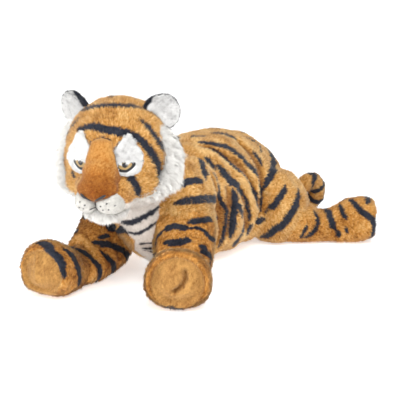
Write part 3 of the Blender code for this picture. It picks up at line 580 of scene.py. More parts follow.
class Sole:
    """The round end of a leg, read from its node: its middle, the way it faces, its plane."""

    def __init__(self, node, way, line, radius, rim, tuck, rise):
        places = coords(NODES[node].data)
        middle = places.mean(axis=0)
        facing = np.linalg.svd(places - middle)[2][2]
        self.facing = facing * math.copysign(1.0, facing @ way)
        self.right = unit(np.cross(UP, self.facing))
        self.up = np.cross(self.facing, self.right)
        self.middle = middle + self.up * rise * 0.6
        self.line, self.radius, self.rim, self.tuck, self.rise = line, radius, rim, tuck, rise

    def spots(self, points):
        """Across, up and out of the sole's plane, and the distance from its middle."""
        way = points - self.middle
        across, up = way @ self.right, way @ self.up
        return across, up, way @ self.facing, np.hypot(across, up)

    def share(self, points):
        _, _, out, away = self.spots(points)
        return ease(self.radius - away, -0.0012, 0.0012) * (out > -0.022)

    def fold(self, across, up, reach):
        """1 along the tuck's line, falling to 0 away from it."""
        best = np.zeros(len(across))
        for (one, two), (three, four) in zip(self.line, self.line[1:]):
            line = np.array((three - one, four - two))
            t = np.clip(((across - one) * line[0] + (up - two) * line[1]) / (line @ line), 0, 1)
            gap = np.hypot(across - one - t * line[0], up - two - t * line[1])
            best = np.maximum(best, np.exp(-(gap / reach) ** 2))
        return best

    def crease(self, points):
        """How much painted shade darkens the pile in the seam of the sole and in its tuck."""
        across, up, out, away = self.spots(points)
        seam = 0.40 * np.exp(-((away - self.radius) / 0.0026) ** 2) * (self.tuck > 0)
        tuck = max(self.tuck, 0.0) / 0.0130 * 0.55 * self.fold(across, up, 0.0042)
        return (seam + tuck) * ease(out, -0.026, -0.016)

    def shape(self, points, ups):
        """How the end of the leg is drawn in: a rolled edge, a flat face and a stitched tuck."""
        _, up, out, _ = self.spots(points)
        taller = self.rise * ease(out, -0.050, -0.018) * ease(up, -0.006, 0.034)
        points = points + self.up * taller[:, None]
        across, up, out, away = self.spots(points)
        end = ease(out, -0.030, -0.008)
        edge = self.rim * np.exp(-((away - self.radius - 0.003) / 0.0042) ** 2)
        face = -0.0075 * ease(self.radius - away, -0.001, 0.005)
        puff = 0.0065 * ease(self.radius - away, 0.004, 0.028)
        moved = points + ups * (edge * end)[:, None]
        fold = self.tuck * self.fold(across, up, 0.0050)
        moved += self.facing * ((face + puff - fold) * end)[:, None]
        # The end of the paw is round underneath and clears the floor
        moved[:, 2] += 0.0075 * ease(out, -0.034, -0.006) * ease(-up, 0.0, 0.040)
        return moved


def sew_on(name, bm, slot):
    """Makes a stitched piece of the head from its faces."""
    bmesh.ops.recalc_face_normals(bm, faces=bm.faces)
    mesh = bpy.data.meshes.new(name)
    bm.to_mesh(mesh)
    bm.free()
    mesh.shade_smooth()
    thing = link(name, mesh)
    mount(thing, "head", THREADS[slot])
    return thing


def tube(name, points, radii, skins, lift=0.0016):
    """A line of stitches: a thin tube laid on skins through points, with a radius at each end."""
    sides, steps = 8, 8
    trees = [tree_of(skin) for skin in skins]
    line = [one + (two - one) * t for one, two in zip(points, points[1:])
            for t in np.arange(steps) / steps] + [points[-1]]
    bm = bmesh.new()
    rings = []
    for k, point in enumerate(line):
        found = []
        for shift in (-0.0025, 0.0, 0.0025):
            start = point + SIDE * shift + AHEAD * 0.05
            for tree in trees:
                hit = tree.ray_cast(Vector(start), Vector(-AHEAD))[0]
                if hit is not None:
                    found.append(np.array(hit) @ AHEAD)
        if found:
            point = point + AHEAD * (max(found) - point @ AHEAD)
        size = np.interp(k / (len(line) - 1), (0.0, 0.15, 0.85, 1.0),
                         (radii[0] * 0.4, radii[0], radii[1], radii[1] * 0.4))
        ahead = unit(line[min(k + 1, len(line) - 1)] - line[max(k - 1, 0)])
        side = unit(np.cross(ahead, AHEAD))
        turns = np.arange(sides) * 2 * math.pi / sides
        rings.append([bm.verts.new(point + side * math.cos(turn) * size + AHEAD * (
            lift + math.sin(turn) * size * 0.7)) for turn in turns])
    for one, two in zip(rings, rings[1:]):
        for k in range(sides):
            bm.faces.new((one[k], one[(k + 1) % sides], two[(k + 1) % sides], two[k]))
    bm.faces.new(rings[0])
    bm.faces.new(rings[-1])
    sew_on(name, bm, "dark_stitching")


def button(name, skin, middle, wide, low, high, lift, dome, slot="dark_stitching", tilt=0.0):
    """A flat stitched shape laid on a skin: an almond about a middle in the head's frame."""
    tree = tree_of(skin)
    side, ahead, up = middle
    bm = bmesh.new()
    rings = []
    sides = 40
    for share in (0.0, 0.3, 0.6, 0.85, 0.97, 1.0):
        ring = []
        for k in range(sides if share else 1):
            turn = 2 * math.pi * k / sides
            tall = high if math.sin(turn) > 0 else low
            flat = math.cos(turn) * wide * share
            high_up = math.sin(turn) * tall * share * (1 - 0.25 * abs(math.cos(turn)))
            across = side + flat * math.cos(tilt) - high_up * math.sin(tilt)
            rise = up + flat * math.sin(tilt) + high_up * math.cos(tilt)
            start = Vector(head_point(across, ahead + 0.05, rise))
            hit = tree.ray_cast(start, Vector(-AHEAD))[0]
            place = np.array(hit) if hit is not None else head_point(across, ahead, rise)
            thick = lift + dome * (1 - share * share) if share < 1 else -0.0008
            ring.append(bm.verts.new(place + AHEAD * thick))
        rings.append(ring)
    for k in range(sides):
        after = (k + 1) % sides
        bm.faces.new((rings[0][0], rings[1][k], rings[1][after]))
        for one, two in zip(rings[1:], rings[2:]):
            bm.faces.new((one[k], two[k], two[after], one[after]))
    return sew_on(name, bm, slot)


# The stripes, by part
# width in millimetres, then marks along and round each part

def mirrored(table, drift=0):
    """The same marks on the other side, shifted a little."""
    return [(width, *((one + drift, -two) for one, two in marks)) for width, *marks in table]


# Trunk: along is towards the tail from its middle, round is to its left from the top
TRUNK_SIDE = [
    (11, (-45, 12), (-32, 19), (-15, 27), (-4, 34), (7, 43), (20, 54), (33, 62), (50, 73),
     (60, 84), (62, 96), (57, 105)),
    (12, (-37, 23), (-29, 30), (-26, 41), (-23, 53), (-9, 63), (13, 73), (28, 84), (35, 95),
     (36, 105), (38, 114)),
    (16, (-69, 46), (-63, 54), (-52, 65), (-36, 74), (-17, 82)),
    (9, (-17, 82), (-5, 92), (3, 102), (10, 112)),
    (16, (-51, 74), (-51, 84), (-56, 95), (-58, 107), (-60, 121)),
    (11, (-49, 88), (-40, 96), (-28, 104)),
    (14, (-10, 114), (-18, 121), (-20, 128), (-13, 138)),
    (9, (16, 115), (11, 121), (6, 126)),
    (9, (-103, 53), (-97, 61), (-94, 70), (-86, 78), (-79, 89), (-74, 100), (-77, 111),
     (-78, 120), (-83, 132)),
    (10, (-79, 32), (-79, 39), (-80, 48)),
    (12, (-112, 34), (-138, 45), (-142, 50), (-151, 56)),
    (12, (-212, 52), (-201, 52), (-185, 54), (-166, 57)),
    (15, (-226, 67), (-214, 68), (-198, 70), (-164, 73), (-120, 77)),
    (11, (-118, 96), (-95, 101)),
    (16, (168, 40), (157, 51), (145, 62), (106, 69), (82, 76), (68, 85)),
    (12, (90, 84), (78, 91), (67, 98), (56, 108)),
    (15, (115, 89), (103, 96), (83, 107), (70, 119), (80, 134)),
    (12, (42, 116), (53, 118), (61, 114)),
    (9, (108, 14), (123, 24), (127, 33)),
    (6, (127, 33), (122, 41), (104, 48)),
    (7, (77, 43), (77, 52), (77, 62)),
    (9, (176, 22), (182, 34)),
    (10, (204, 34), (211, 66), (202, 100)),
    (9, (228, 24), (232, 60), (224, 98)),
]
TRUNK_STRIPES = TRUNK_SIDE + mirrored(TRUNK_SIDE[:9], drift=5) + mirrored(
    TRUNK_SIDE[9:], drift=-6) + [
    (10, (-34, 0), (-19, 3), (-3, 8)),
    (11, (16, 8), (35, 15), (43, 21), (59, 24)),
    (10, (-27, -20), (-76, -3), (-111, 13)),
    (14, (-238, -112), (-250, -134), (-253, -158), (-254, -177)),
    (8, (60, -30), (52, -12), (66, 2)),
    (9, (88, -22), (84, -6), (92, 8)),
    (9, (134, -20), (130, -4), (138, 14)),
    (9, (160, 26), (154, 8), (162, -16)),
    (8, (205, -40), (212, 0), (205, 40)),
    (9, (-128, 18), (-122, 0), (-130, -22)),
    (8, (-70, 176), (-64, 196)),
    (8, (-10, 168), (-4, 192)),
    (8, (50, 170), (54, 190)),
]
CHEST_STRIPES = [
    (9, (-9, 0), (0, 1), (9, 3), (19, 8), (28, 14), (34, 18)),
    (6, (1, -9), (8, -9), (14, -8), (23, -2), (32, 4)),
    (6, (12, -22), (20, -22), (30, -20)),
    (7, (13, -30), (20, -34), (30, -39)),
    (4, (12, -36), (26, -47)),
    (11, (-14, 14), (-30, 18)),
    (10, (-16, -6), (-34, -4)),
    (9, (-66, -2), (-57, -9)),
]
# Folds where the stuffed skins are drawn in; their creases get painted shade and the crests beside
# them a painted highlight
TRUNK_FOLDS = [
    (12, (-119, 54), (-114, 71), (-94, 86), (-89, 100), (-90, 118), (-94, 130)),
    (10, (-65, 72), (-68, 94), (-71, 118)),
    (10, (-26, 76), (-14, 94), (2, 118)),
    (12, (62, 30), (62, 58), (58, 84), (50, 101), (40, 116), (40, 129)),
    (10, (-48, 20), (-30, 34), (-12, 48), (4, 62), (20, 78), (33, 96)),
]
# Head: degrees to its left of straight ahead, and up from level
HEAD_SIDE_STRIPES = [
    (10, (52, 48), (60, 38), (67, 24), (80, 10)),
    (14, (29, -8), (35, -17), (41, -29)),
    (9, (112, 34), (120, 12), (124, -8)),
]
HEAD_STRIPES = HEAD_SIDE_STRIPES + [
    (6, (-17, 19), (-11, 27), (0, 31), (9, 30)),
    (13, (-37, 35), (-18, 42), (5, 40), (25, 37), (39, 32), (50, 22), (59, 8), (65, -6),
     (66, -20)),
    (10, (-54, 46), (-62, 34), (-70, 20)),
    (10, (-64, 4), (-68, -10), (-66, -24)),
    (9, (-41, -8), (-40, -16)),
    (10, (-68, 51), (-43, 62), (-1, 68), (42, 67), (71, 60)),
    (8, (-71, 82), (-150, 82)),
    (6, (133, 78), (118, 72)),
    (9, (150, 62), (180, 66), (210, 62)),
    (9, (146, 40), (180, 46), (214, 40)),
    (9, (142, 18), (180, 24), (218, 18)),
    (9, (-112, 34), (-120, 12), (-124, -8)),
]
# Legs: along is from the root towards the sole, round is to its right from the top
LEG_STRIPES = {
    "left_front_leg": [
        (11, (59, -8), (53, -22), (39, -33), (24, -40)),
        (11, (61, 33), (66, 10), (65, -11)),
        (6, (65, -11), (62, -26), (56, -43), (42, -58), (29, -68)),
        (12, (77, 44), (82, 15), (81, -22)),
        (9, (80, -46), (72, -66)),
        (7, (57, 70), (59, 50), (61, 34)),
        (10, (60, -35), (50, -53), (18, -72)),
        (10, (58, 97), (71, 77)),
        (11, (84, -60), (59, -92)),
        (9, (192, 152), (192, 172), (192, 192)),
        (11, (90, 60), (102, 84), (98, 116)),
        (11, (136, 66), (146, 90), (138, 118)),
        (11, (124, 10), (132, -30), (122, -66)),
        (10, (60, -96), (84, -116), (92, -140)),
    ],
    "right_front_leg": [
        (16, (230, 21), (233, -5), (244, -32), (242, -56), (245, -79), (242, -96)),
        (13, (219, -41), (213, -60), (208, -79), (202, -103), (197, -129)),
        (11, (140, 0), (142, -40), (142, -68), (140, -93), (134, -118), (131, -144)),
        (11, (112, -84), (108, -98), (90, -124), (73, -148)),
        (13, (112, -50), (106, -60), (89, -75), (56, -100), (23, -133)),
        (13, (72, -30), (70, -42), (52, -50)),
        (8, (101, -47), (76, -55)),
        (10, (72, 24), (81, 12)),
        (13, (52, 30), (44, 58), (52, 92)),
        (12, (96, 34), (86, 66), (98, 104)),
        (12, (142, 26), (132, 62), (140, 100)),
        (12, (188, 30), (180, 66), (186, 104)),
        (12, (226, 60), (222, 90), (224, 120)),
    ],
    "left_hind_leg": [
        (11, (14, 23), (-1, 51), (-26, 71)),
        (14, (45, -10), (40, 46), (21, 80), (-7, 108), (-28, 165)),
        (8, (-38, 88), (-28, 88)),
        (9, (78, 54), (85, 92), (78, 117), (58, 134)),
        (7, (62, 102), (50, 134)),
        (7, (-1, 164), (31, 161)),
        (13, (105, 19), (110, 60), (115, 102), (122, 119)),
        (9, (134, 12), (138, 65), (146, 86)),
        (11, (127, 122), (131, 136)),
        (8, (144, 112), (148, 122)),
        (12, (154, 13), (174, 60), (200, 88), (204, 117), (199, 148)),
        (12, (10, 0), (24, -36), (14, -72), (20, -104)),
        (12, (56, -30), (66, -60), (58, -90)),
        (12, (98, -16), (106, -46), (98, -90)),
        (11, (142, -14), (152, -56), (144, -100)),
        (11, (190, 40), (194, -10), (188, -70)),
    ],
}
LEG_STRIPES["right_hind_leg"] = mirrored(LEG_STRIPES["left_hind_leg"])

# Trunk

trunk = clay("trunk_skin", ("trunk_filling", "back_cover", "belly_panel"), (
    ((0, -0.190, 0.120), (0.096, 0.070, 0.082)),
    (LEGS["left_front_leg"], (0.057, 0.057, 0.081)),
    (LEGS["right_front_leg"], (0.057, 0.057, 0.081)),
    ((0.055, -0.150, 0.150), (0.062, 0.085, 0.070)),
    ((-0.055, -0.150, 0.150), (0.062, 0.085, 0.070)),
    ((0, 0.120, 0.110), (0.112, 0.118, 0.106)),
    (LEGS["left_hind_leg"], (0.068, 0.068, 0.080)),
    (LEGS["right_hind_leg"], (0.068, 0.068, 0.080)),
    ((0, 0.236, 0.070), (0.030, 0.024, 0.028)),
    (NECK, (0.0575, 0.0575, 0.0575)),
), 0.0035, 14)
TRUNK_AXES = (0, 0, 0.115), (0, 1, 0), (1, 0, 0)
FOLD_MARKS = TRUNK_FOLDS + mirrored(TRUNK_FOLDS, 4)
FOLD_DEPTH = 0.0100
places = coords(trunk.data)
away = np.minimum(Lines((Wrap(trunk, *TRUNK_AXES), FOLD_MARKS)).inside(places), 0)
swell(trunk, 0.0008 + 0.0015 * waves(places, 0.022, 1)
      + 0.0030 * waves(places * (1, 1, 0.35), 0.030, 2)
      - FOLD_DEPTH * np.exp(-(away / 0.008) ** 2))
# The breast is round underneath and clears the floor in front
BREAST_LIFT = 0.027
places = coords(trunk.data)
places[:, 2] += BREAST_LIFT * ease(-places[:, 1], 0.12, 0.23) * (
    1 - ease(places[:, 2], 0.0, 0.095)) * (
    1 - ease(np.abs(places[:, 0]), 0.045, 0.075))
set_coords(trunk.data, above(places))
TRUNK_WRAP = Wrap(trunk, *TRUNK_AXES)
CREASES = Lines((TRUNK_WRAP, FOLD_MARKS))
CHEST_WRAP = Globe(trunk, (0, -0.150, 0.110), (0, -1, 0), (1, 0, 0))


def painted_fold_shade_and_highlight(points):
    """Painted shade in the creases of the trunk and a painted highlight on the crests beside them.
    """
    away = -np.minimum(CREASES.inside(points), 0)
    return 0.55 * np.exp(-(away / 0.006) ** 2) - 0.24 * np.exp(-((away - 0.016) / 0.008) ** 2)


def belly_pale(points):
    """The pale chest and belly, between the front legs and under the trunk."""
    half = 0.050
    side, rise = points[:, 0], points[:, 2]
    front = ease(-points[:, 1], 0.15, 0.20)
    left = half + front * (np.interp(rise, (0.045, 0.080, 0.115), (0.034, 0.050, 0.060)) - half)
    right = half + front * (np.interp(rise, (0.045, 0.078, 0.092, 0.105, 0.120), (
        0.002, -0.012, 0.002, 0.024, 0.050)) - half)
    inner = np.minimum(left - side, right + side) + 0.002 * waves(points, 0.02, 40)
    high = np.interp(points[:, 1], (-0.27, 0.20, 0.27), (0.178, 0.066, 0.015))
    return ease(inner, -0.001, 0.001) * ease(high - rise, -0.002, 0.002)


def neck_pale(points):
    """The pale front of the neck."""
    way = points - NECK
    return ease(way @ AHEAD - np.abs(way @ SIDE) - way @ UP, 0.018, 0.024)


dress(trunk, "trunk", ORANGE, {
    "stripes": Lines((TRUNK_WRAP, TRUNK_STRIPES), (CHEST_WRAP, CHEST_STRIPES)),
    "shade": painted_fold_shade_and_highlight, "pale": belly_pale})
pile("trunk_pile", trunk, 130000, *BODY_PILE, toward((0, 1, -0.25)), 11, 0.85, 0.7,
     lambda points: 1 - belly_pale(points))
# The chest's pile ends under the chin, clear of the nodding head
pile("chest_pile", trunk, 24000, *SHORT_PILE, toward((0, 0.2, -1)), 12, 1.0,
     where=lambda points: belly_pale(points) * (1 - ease(points[:, 2], 0.150, 0.156)),
     slot="white_plush")
neck = clay("neck_skin", ("neck_filling", "neck_cover"), (), 0.0035, 6)
dress(neck, "neck", ORANGE, {"pale": neck_pale})

# Legs

MIDDLE_HEIGHT = 0.055
# Each leg's forms in metres: its sole's half width, rolled rim, tuck and rise; the tuck's line,
# across and up from the sole's middle; and the start, end, distance and depth of its rings
HIND_FORMS = ((0.0370, 0.0030, 0.0050, 0.0), ((0.004, 0.014), (-0.004, -0.012)),
              (0.080, 0.150, 0.034), 0.0022)
LEG_FORMS = {
    "left_front_leg": ((0.0470, 0.0030, 0.0130, 0.010),
                       ((0.013, 0.020), (0.014, 0.008), (0.008, -0.004), (-0.004, -0.015)),
                       (0.075, 0.150, 0.024), 0.0034),
    "right_front_leg": ((0.0430, 0.0, -0.0045, 0.003),
                        ((-0.010, 0.034), (-0.006, 0.010), (-0.008, -0.020)),
                        (0.030, 0.180, 0.026), 0.0042),
    "left_hind_leg": HIND_FORMS, "right_hind_leg": HIND_FORMS}


def drawn_in(span, number, origin, way, points):
    """The rings of a stuffed leg, low in a crease and high on a swell, and where they count."""
    along = (points - origin) @ way
    start, stop, pitch = span
    bend = 0.012 * waves(points, 0.045, 54 + number) + 0.25 * (points[:, 2] - MIDDLE_HEIGHT)
    rings = np.abs(np.sin(np.pi * (along + bend) / pitch)) ** 0.8
    rings *= 0.6 + 0.4 * waves(points, 0.035, 58 + number)
    return rings - 0.6, ease(along, start - 0.02, start) * (
        1 - ease(along, stop, stop + 0.02))


def bent_arm(places, origin, way):
    """Slims the upper side of the right front leg and fills its elbow in front of the chest."""
    along = (places - origin) @ way
    low = 1 - ease(places[:, 2], 0.030, 0.075)
    slim = 0.14 * ease(along, 0.015, 0.065) * (1 - ease(along, 0.170, 0.206))
    middle = origin + along[:, None] * way
    places = places + (middle - places) * (slim * (1 - low))[:, None]
    inner = -np.cross(way, UP)
    low = 1 - ease(places[:, 2], 0.030, 0.075)
    full = ease(along, 0.0, 0.030) * (1 - ease(along, 0.110, 0.170))
    full *= ease((places - middle) @ inner, 0.0, 0.030) * low
    return places + inner * (0.013 * full)[:, None]


def make_leg(name, number):
    node = name.replace("_leg", "_sole")
    root = LEGS[name]
    origin = np.array((root[0], root[1], MIDDLE_HEIGHT))
    low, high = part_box(node)
    way = unit(((np.array(low) + np.array(high)) / 2 - root) * (1, 1, 0))
    skin = clay(name + "_skin", (name + "_filling", name + "_cover", node), (), 0.003, 12)
    sizes, tuck, span, depth = LEG_FORMS[name]
    sole = Sole(node, way, tuck, *sizes)
    places = coords(skin.data)
    if name == "right_front_leg":
        places = bent_arm(places, origin, way)
        set_coords(skin.data, places)
    rings, share = drawn_in(span, number, origin, way, places)
    swell(skin, 0.0008 + 0.0013 * waves(places, 0.020, 50 + number) + depth * share * rings)
    set_coords(skin.data, above(sole.shape(coords(skin.data), normals(skin.data))))

    # Painted shade in the creases of the rings and in the sole's seam and tuck, and painted light
    # on the swells of the rings
    def shade(points):
        rings, share = drawn_in(span, number, origin, way, points)
        return sole.crease(points) - 0.45 * share * rings

    wrap = Wrap(skin, origin, way, np.cross(way, UP))
    dress(skin, name, PAW, {"stripes": Lines((wrap, LEG_STRIPES[name])), "pale": sole.share,
                            "shade": shade})
    pile(name + "_pile", skin, 38000, *BODY_PILE, toward(way, 0.2), 60 + number, 0.85, 0.7,
         lambda points: 1 - sole.share(points))
    pile(node + "_pile", skin, 9000, *SHORT_PILE, toward((0, 0, -1)), 64 + number, 1.05,
         where=sole.share)


for number, name in enumerate(LEGS):
    make_leg(name, number)

# Tail

TAIL_ROOT = np.array(JOINTS["tail_wag"]["pos_m"])
TAIL_UNIT = 0.0175
TAIL_ROUTE = [TAIL_ROOT + np.array(mark) * TAIL_UNIT for mark in (
    (0, 0, 0), (0.8, 2.0, -0.9), (2.4, 3.3, -1.9), (4.3, 3.9, -2.3), (6.0, 3.8, -1.5),
    (6.9, 3.6, 0.0), (6.9, 2.8, 1.3), (6.5, 1.8, 2.1), (6.0, 0.6, 2.2))]
# Each ring's place along the tail and its half width, in metres
TAIL_BANDS = ((0.040, 0.0045), (0.068, 0.005), (0.096, 0.005), (0.128, 0.0055), (0.163, 0.0060),
              (0.198, 0.0065), (0.234, 0.0075))
tail = clay("tail_skin", ("tail_filling", "tail_cover"), (), 0.0028, 8)
swell(tail, 0.0005 + 0.0010 * waves(coords(tail.data), 0.016, 70))
dress(tail, "tail", ORANGE, {"stripes": Bands(TAIL_ROUTE, TAIL_BANDS)})
pile("tail_pile", tail, 15000, 0.0055, 0.0011, toward((0.5, 0.1, 0.5)), 71, 0.85, 0.7)

# Head

SIDES = (("left", 1), ("right", -1))
HEAD_SPIN = Matrix.Rotation(HEAD_TURN, 3, "Z")
head = clay("head_skin", ("head_filling", "head_cover"), (
    (head_point(0, 0.060, -0.047), (0.052, 0.052, 0.038)),
    (head_point(0.028, 0.066, -0.042), (0.024, 0.040, 0.026)),
    (head_point(-0.028, 0.066, -0.042), (0.024, 0.040, 0.026)),
    (head_point(0.050, 0.026, -0.036), (0.038, 0.040, 0.036)),
    (head_point(-0.050, 0.026, -0.036), (0.038, 0.040, 0.036)),
), 0.003, 10, HEAD_SPIN)
swell(head, 0.0008 + 0.0012 * waves(coords(head.data), 0.022, 80))
bridge = clay("nose_skin", ("nose_bridge",), (
    (head_point(0, 0.106, -0.031), (0.035, 0.021, 0.017)),
    (head_point(0, 0.113, -0.038), (0.018, 0.020, 0.012)),
    (head_point(0, 0.097, -0.010), (0.028, 0.022, 0.026)),
), 0.0018, 36, HEAD_SPIN)
swell(bridge, 0.0014 + 0.0005 * waves(coords(bridge.data), 0.014, 90))
PADS, RUFFS, PATCHES = {}, {}, {}
for side, sign in SIDES:
    pad = clay(side + "_muzzle_skin", (side + "_muzzle",), (
        (head_point(0.0165 * sign, 0.0955, -0.056), (0.0195, 0.036, 0.0200)),), 0.0016, 8,
        HEAD_SPIN)
    places = coords(pad.data)
    aside = (places - HEAD) @ SIDE * sign
    shift = np.maximum(0.0004 - aside, 0) - 0.30 * np.maximum(aside - 0.030, 0)
    set_coords(pad.data, places + SIDE * sign * shift[:, None])
    swell(pad, -0.0012)
    ruff = clay(side + "_ruff_skin", (side + "_ruff",), (
        (head_point(0.092 * sign, 0.008, 0.036), (0.015, 0.012, 0.022)),), 0.002, 8, HEAD_SPIN)
    places = coords(ruff.data)
    high = np.maximum((places - HEAD) @ UP - 0.004, 0)
    low = np.maximum(-0.040 - (places - HEAD) @ UP, 0)
    set_coords(ruff.data, places - SIDE * sign * (0.22 * high)[:, None]
               + UP * (0.55 * low)[:, None])
    PADS[side], RUFFS[side] = pad, ruff
    PATCHES[side] = clay(side + "_patch_skin", (side + "_eye_patch",), (), 0.0009, 3)
chin = clay("chin_skin", ("chin_panel",), (), 0.0018, 8)


def snout_share(points):
    """1 on the smooth sides of the snout, between the nose bridge and the seam of each cheek."""
    top = 0.012
    way = points - HEAD
    side, ahead, up = np.abs(way @ SIDE), way @ AHEAD, way @ UP
    edge = np.interp(up, (-0.075, -0.036, -0.013, top), (0.052, 0.048, 0.036, 0.018))
    return ease(edge - side, -0.001, 0.001) * (up < top) * (ahead > 0.03)


def jaw_share(points):
    """1 on the white underside of the jaw, between the chin and the ruffs."""
    way = points - HEAD
    rise = np.degrees(np.arctan2(way @ UP, np.hypot(way @ SIDE, way @ AHEAD)))
    return ease(-rise + 1.5 * waves(points, 0.012, 41), 31, 34) * (way @ AHEAD > -0.03)


def nose_shade(points):
    """The nose bridge is darker towards its tip."""
    return 0.72 * ease((HEAD - points) @ UP, -0.030, 0.034) - 0.36


# Painted shade: the head's pile and the fronts of the ears are painted a little darker than the
# same pile elsewhere
def slight_painted_shade(points):
    return 0.10


def from_face(points, ups):
    """Pile of the head, combed back from the nose."""
    return points - (HEAD + AHEAD * 0.16 - UP * 0.02)


def from_cheek(points, ups):
    """Pile of the ruffs, combed out from the middle of the head."""
    return points - HEAD - AHEAD * 0.05 - UP * 0.04


HEAD_WRAP = Globe(head, HEAD, AHEAD, SIDE)
dress(head, "head", ORANGE, {"stripes": Lines((HEAD_WRAP, HEAD_STRIPES)), "pale": jaw_share,
                             "plain": jaw_share, "shade": slight_painted_shade})
FREE = clear_of([bridge, chin, *PADS.values(), *RUFFS.values(), *PATCHES.values()], 0.0022)
pile("head_pile", head, 46000, 0.0056, 0.0010, from_face, 81, 0.85, 0.7,
     lambda points: FREE(points) * (1 - snout_share(points)))
pile("snout_pile", head, 9000, *SHORT_PILE, from_face, 80, 1.0,
     where=lambda points: FREE(points) * snout_share(points))
dress(bridge, "head", NOSE, {"shade": nose_shade}, "nose_plush")
pile("nose_pile", bridge, 18000, 0.0028, 0.0008, from_face, 82, 1.0)


class EarEdge:
    """The black back of an ear where it shows round the inner edge of the front."""

    def __init__(self, side, sign):
        self.foot = np.array(JOINTS[side + "_ear_fold"]["pos_m"])
        self.sign = sign
        self.reach = 0.0205 if side == "left" else 0.0145

    def inside(self, points):
        way = points - self.foot
        return (way @ SIDE) * -self.sign + (way @ UP) * 0.62 - self.reach


# Whisker dots of a muzzle pad, from the middle of the face and up from its level
WHISKERS = ((0.0140, -0.0563), (0.0239, -0.0519), (0.0357, -0.0560), (0.0173, -0.0630),
            (0.0262, -0.0625))
EYE_SLANT = math.radians(14)
# Stitched shapes of an eye, on top of one another. In metres: shift inwards and up, half width,
# depth below and height above the middle, lift off the patch and dome. Then the thread, whether
# the shape slants, and the node that it stands for.
EYE_SHAPES = {
    "line": (0.0010, 0.0, 0.0180, 0.0120, 0.0088, 0.0006, 0.0002, "dark_stitching", 1, "lid"),
    "ring": (0.0, 0.0006, 0.0114, 0.0074, 0.0062, 0.0011, 0.0004, "amber_stitching", 1, "iris"),
    "dark": (0.0, 0.0016, 0.0052, 0.0050, 0.0046, 0.0017, 0.0004, "dark_stitching", 0, "pupil")}
EAR_SIDES = (("front", SNOW, "white_plush"), ("back", BLACK, "dark_stitching"))


def make_eye(side, sign, patch):
    """The pile of an eye patch, and the eye stitched on it."""
    eye = np.array((0.0402 * sign, 0.081, 0.0035))
    slant = EYE_SLANT * sign

    def from_eye(points):
        way = points - HEAD
        return way @ SIDE - eye[0], way @ UP - eye[2]

    def beside_eye(points):
        across, rise = from_eye(points)
        tall = np.where(rise > 0, 0.0092, 0.0104)
        return (np.hypot(across / 0.0176, rise / tall) > 1).astype(float)

    def brow_only(points):
        return beside_eye(points) * (from_eye(points)[1] > 0.005)

    def lash_line(points):
        across, rise = from_eye(points)
        rise = rise - across * math.tan(slant)
        return ((rise > 0.0064) & (rise < 0.0105) & (np.abs(across) < 0.0155)).astype(float)

    pile(side + "_patch_pile", patch, 8000, 0.0065, 0.0009,
         toward(SIDE * 0.8 * sign + UP * 0.2), 85, 0.6, 0.8, brow_only, long_tips=True)
    pile(side + "_patch_rim_pile", patch, 3000, 0.0036, 0.0009,
         toward(SIDE * 0.5 * sign - UP), 87, 0.9,
         where=lambda points: beside_eye(points) - brow_only(points))
    for part, row in EYE_SHAPES.items():
        inwards, raised, *sizes, slot, slants, node = row
        shape = button(side + "_eye_" + part, patch, eye + (-inwards * sign, 0, raised), *sizes,
                       slot, slant * slants)
        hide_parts(side + "_" + node)
    pile(side + "_lash_pile", patch, 1000, 0.0040, 0.0009,
         toward(SIDE * 0.35 * sign - UP), 89, 1.12, 0.4, lash_line, long_tips=True)


for side, sign in SIDES:
    pad, ruff, patch = PADS[side], RUFFS[side], PATCHES[side]
    dress(pad, "head", CREAM, slot="white_plush")
    pile(side + "_muzzle_pile", pad, 9000, 0.0030, 0.0008, from_face, 83, 1.0)
    dress(ruff, "head", WHITE, slot="white_plush")
    pile(side + "_ruff_pile", ruff, 17000, 0.0118, 0.0011, from_cheek, 84, curl=0.6, tuft=0.011,
         where=lambda points: ease((points - HEAD) @ UP, -0.060, -0.044), long_tips=True)
    dress(patch, "head", SNOW, slot="white_plush")
    make_eye(side, sign, patch)
    for number, (x, z) in enumerate(WHISKERS):
        button("%s_whisker_%d" % (side, number + 1), pad, (x * sign, 0.12, z), 0.0012, 0.0012,
               0.0012, 0.0021, 0.0004)
    for kind, material, slot in EAR_SIDES:
        name = side + "_ear_" + kind
        ear = clay(name + "_skin", (name,), (), 0.0012, 4)
        spec = {}
        if kind == "front":
            places = coords(ear.data)
            away = np.linalg.norm(places - places.mean(axis=0), axis=1)
            front = ease(normals(ear.data) @ AHEAD, 0.1, 0.6)
            swell(ear, front * (0.0012 * waves(places, 0.013, 92)
                                - 0.0022 * np.exp(-(away / 0.015) ** 2)))
            spec = {"stripes": EarEdge(side, sign), "shade": slight_painted_shade}
        dress(ear, side + "_ear", material, spec, slot)
        pile(name + "_pile", ear, 10000, 0.0048, 0.0010, toward(SIDE * 0.4 * sign + UP), 86,
             0.9, 0.6)

dress(chin, "head", WHITE, slot="white_plush")
pile("chin_pile", chin, 9000, 0.0075, 0.0010, toward(-UP - AHEAD * 0.4), 88, long_tips=True)


def face_line(name, marks, radii, lift=0.0016):
    """A stitched line of nose or mouth through marks, aside and up from the face's middle."""
    tube(name, [head_point(x, 0.13, z) for x, z in marks], radii, [bridge, *PADS.values()], lift)


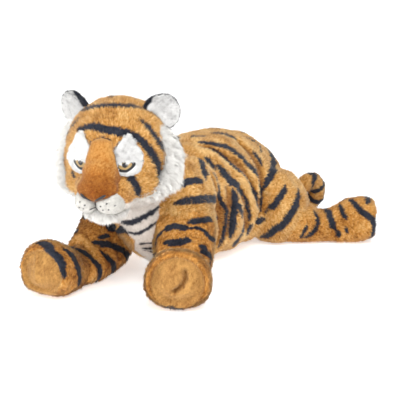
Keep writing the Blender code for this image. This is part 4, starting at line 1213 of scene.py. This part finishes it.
NOSTRIL = ((0.0225, -0.0375), (0.0150, -0.0420), (0.0070, -0.0462), (0.0008, -0.0500))
for side, sign in SIDES:
    face_line(side + "_nostril_line", [(x * sign, z) for x, z in NOSTRIL], (0.0024, 0.0011))
face_line("lip_line", ((0, -0.0490), (0, -0.0560), (0, -0.0625)), (0.0010, 0.0008))
face_line("mouth_line", ((-0.0085, -0.0652), (-0.0030, -0.0628), (0.0030, -0.0628),
                         (0.0085, -0.0652)), (0.0009, 0.0009), 0.0024)

# Floor, light, camera

grid = bmesh.new()
bmesh.ops.create_grid(grid, x_segments=8, y_segments=8, size=40)
floor_mesh = bpy.data.meshes.new("floor")
grid.to_mesh(floor_mesh)
grid.free()
floor_material, floor_tree, floor_shader = nodes_of("studio_floor")
floor_colour = ramp(floor_tree, noise(floor_tree, 3.0), (0.3, 0.7), (
    (0.90, 0.90, 0.90, 1), (0.92, 0.92, 0.92, 1)))
floor_tree.links.new(floor_colour, floor_shader.inputs["Base Color"])
surface(floor_shader, Roughness=0.95, Emission_Color=(1, 1, 1, 1), Emission_Strength=0.50,
        Specular_IOR_Level=0.1)
floor_mesh.materials.append(floor_material)
link("floor", floor_mesh)

world = bpy.data.worlds.new("studio")
bpy.context.scene.world = world
world.use_nodes = True
background = world.node_tree.nodes["Background"]
background.inputs["Color"].default_value = (1, 1, 1, 1)
background.inputs["Strength"].default_value = 0.85
LAMP_AIM = Vector((0, -0.1, 0.12))


def lamp(name, place, size, power):
    light = bpy.data.lights.new(name, "AREA")
    light.size = size
    light.energy = power
    thing = link(name, light)
    thing.location = place
    thing.rotation_euler = (LAMP_AIM - Vector(place)).to_track_quat("-Z", "Y").to_euler()


lamp("key", (1.1, -1.1, 2.3), 1.4, 44)
lamp("front", (1.6, -1.7, 0.7), 1.2, 8)
lamp("low", (-0.9, -2.0, 0.45), 0.9, 16)

AZIMUTH, ELEVATION, DISTANCE = math.radians(32.0), math.radians(14.0), 2.0
AIM = Vector((0, 0, 0.10))
back = Vector((math.sin(AZIMUTH) * math.cos(ELEVATION), -math.cos(AZIMUTH) * math.cos(ELEVATION),
               math.sin(ELEVATION)))
camera_data = bpy.data.cameras.new("camera")
camera_data.sensor_width = 36
camera_data.lens = 86.4
camera = link("camera", camera_data)
camera.location = AIM + back * DISTANCE
camera.rotation_euler = back.to_track_quat("Z", "Y").to_euler()
bpy.context.scene.camera = camera
bpy.context.scene.view_settings.view_transform = "Standard"

bpy.context.view_layer.update()
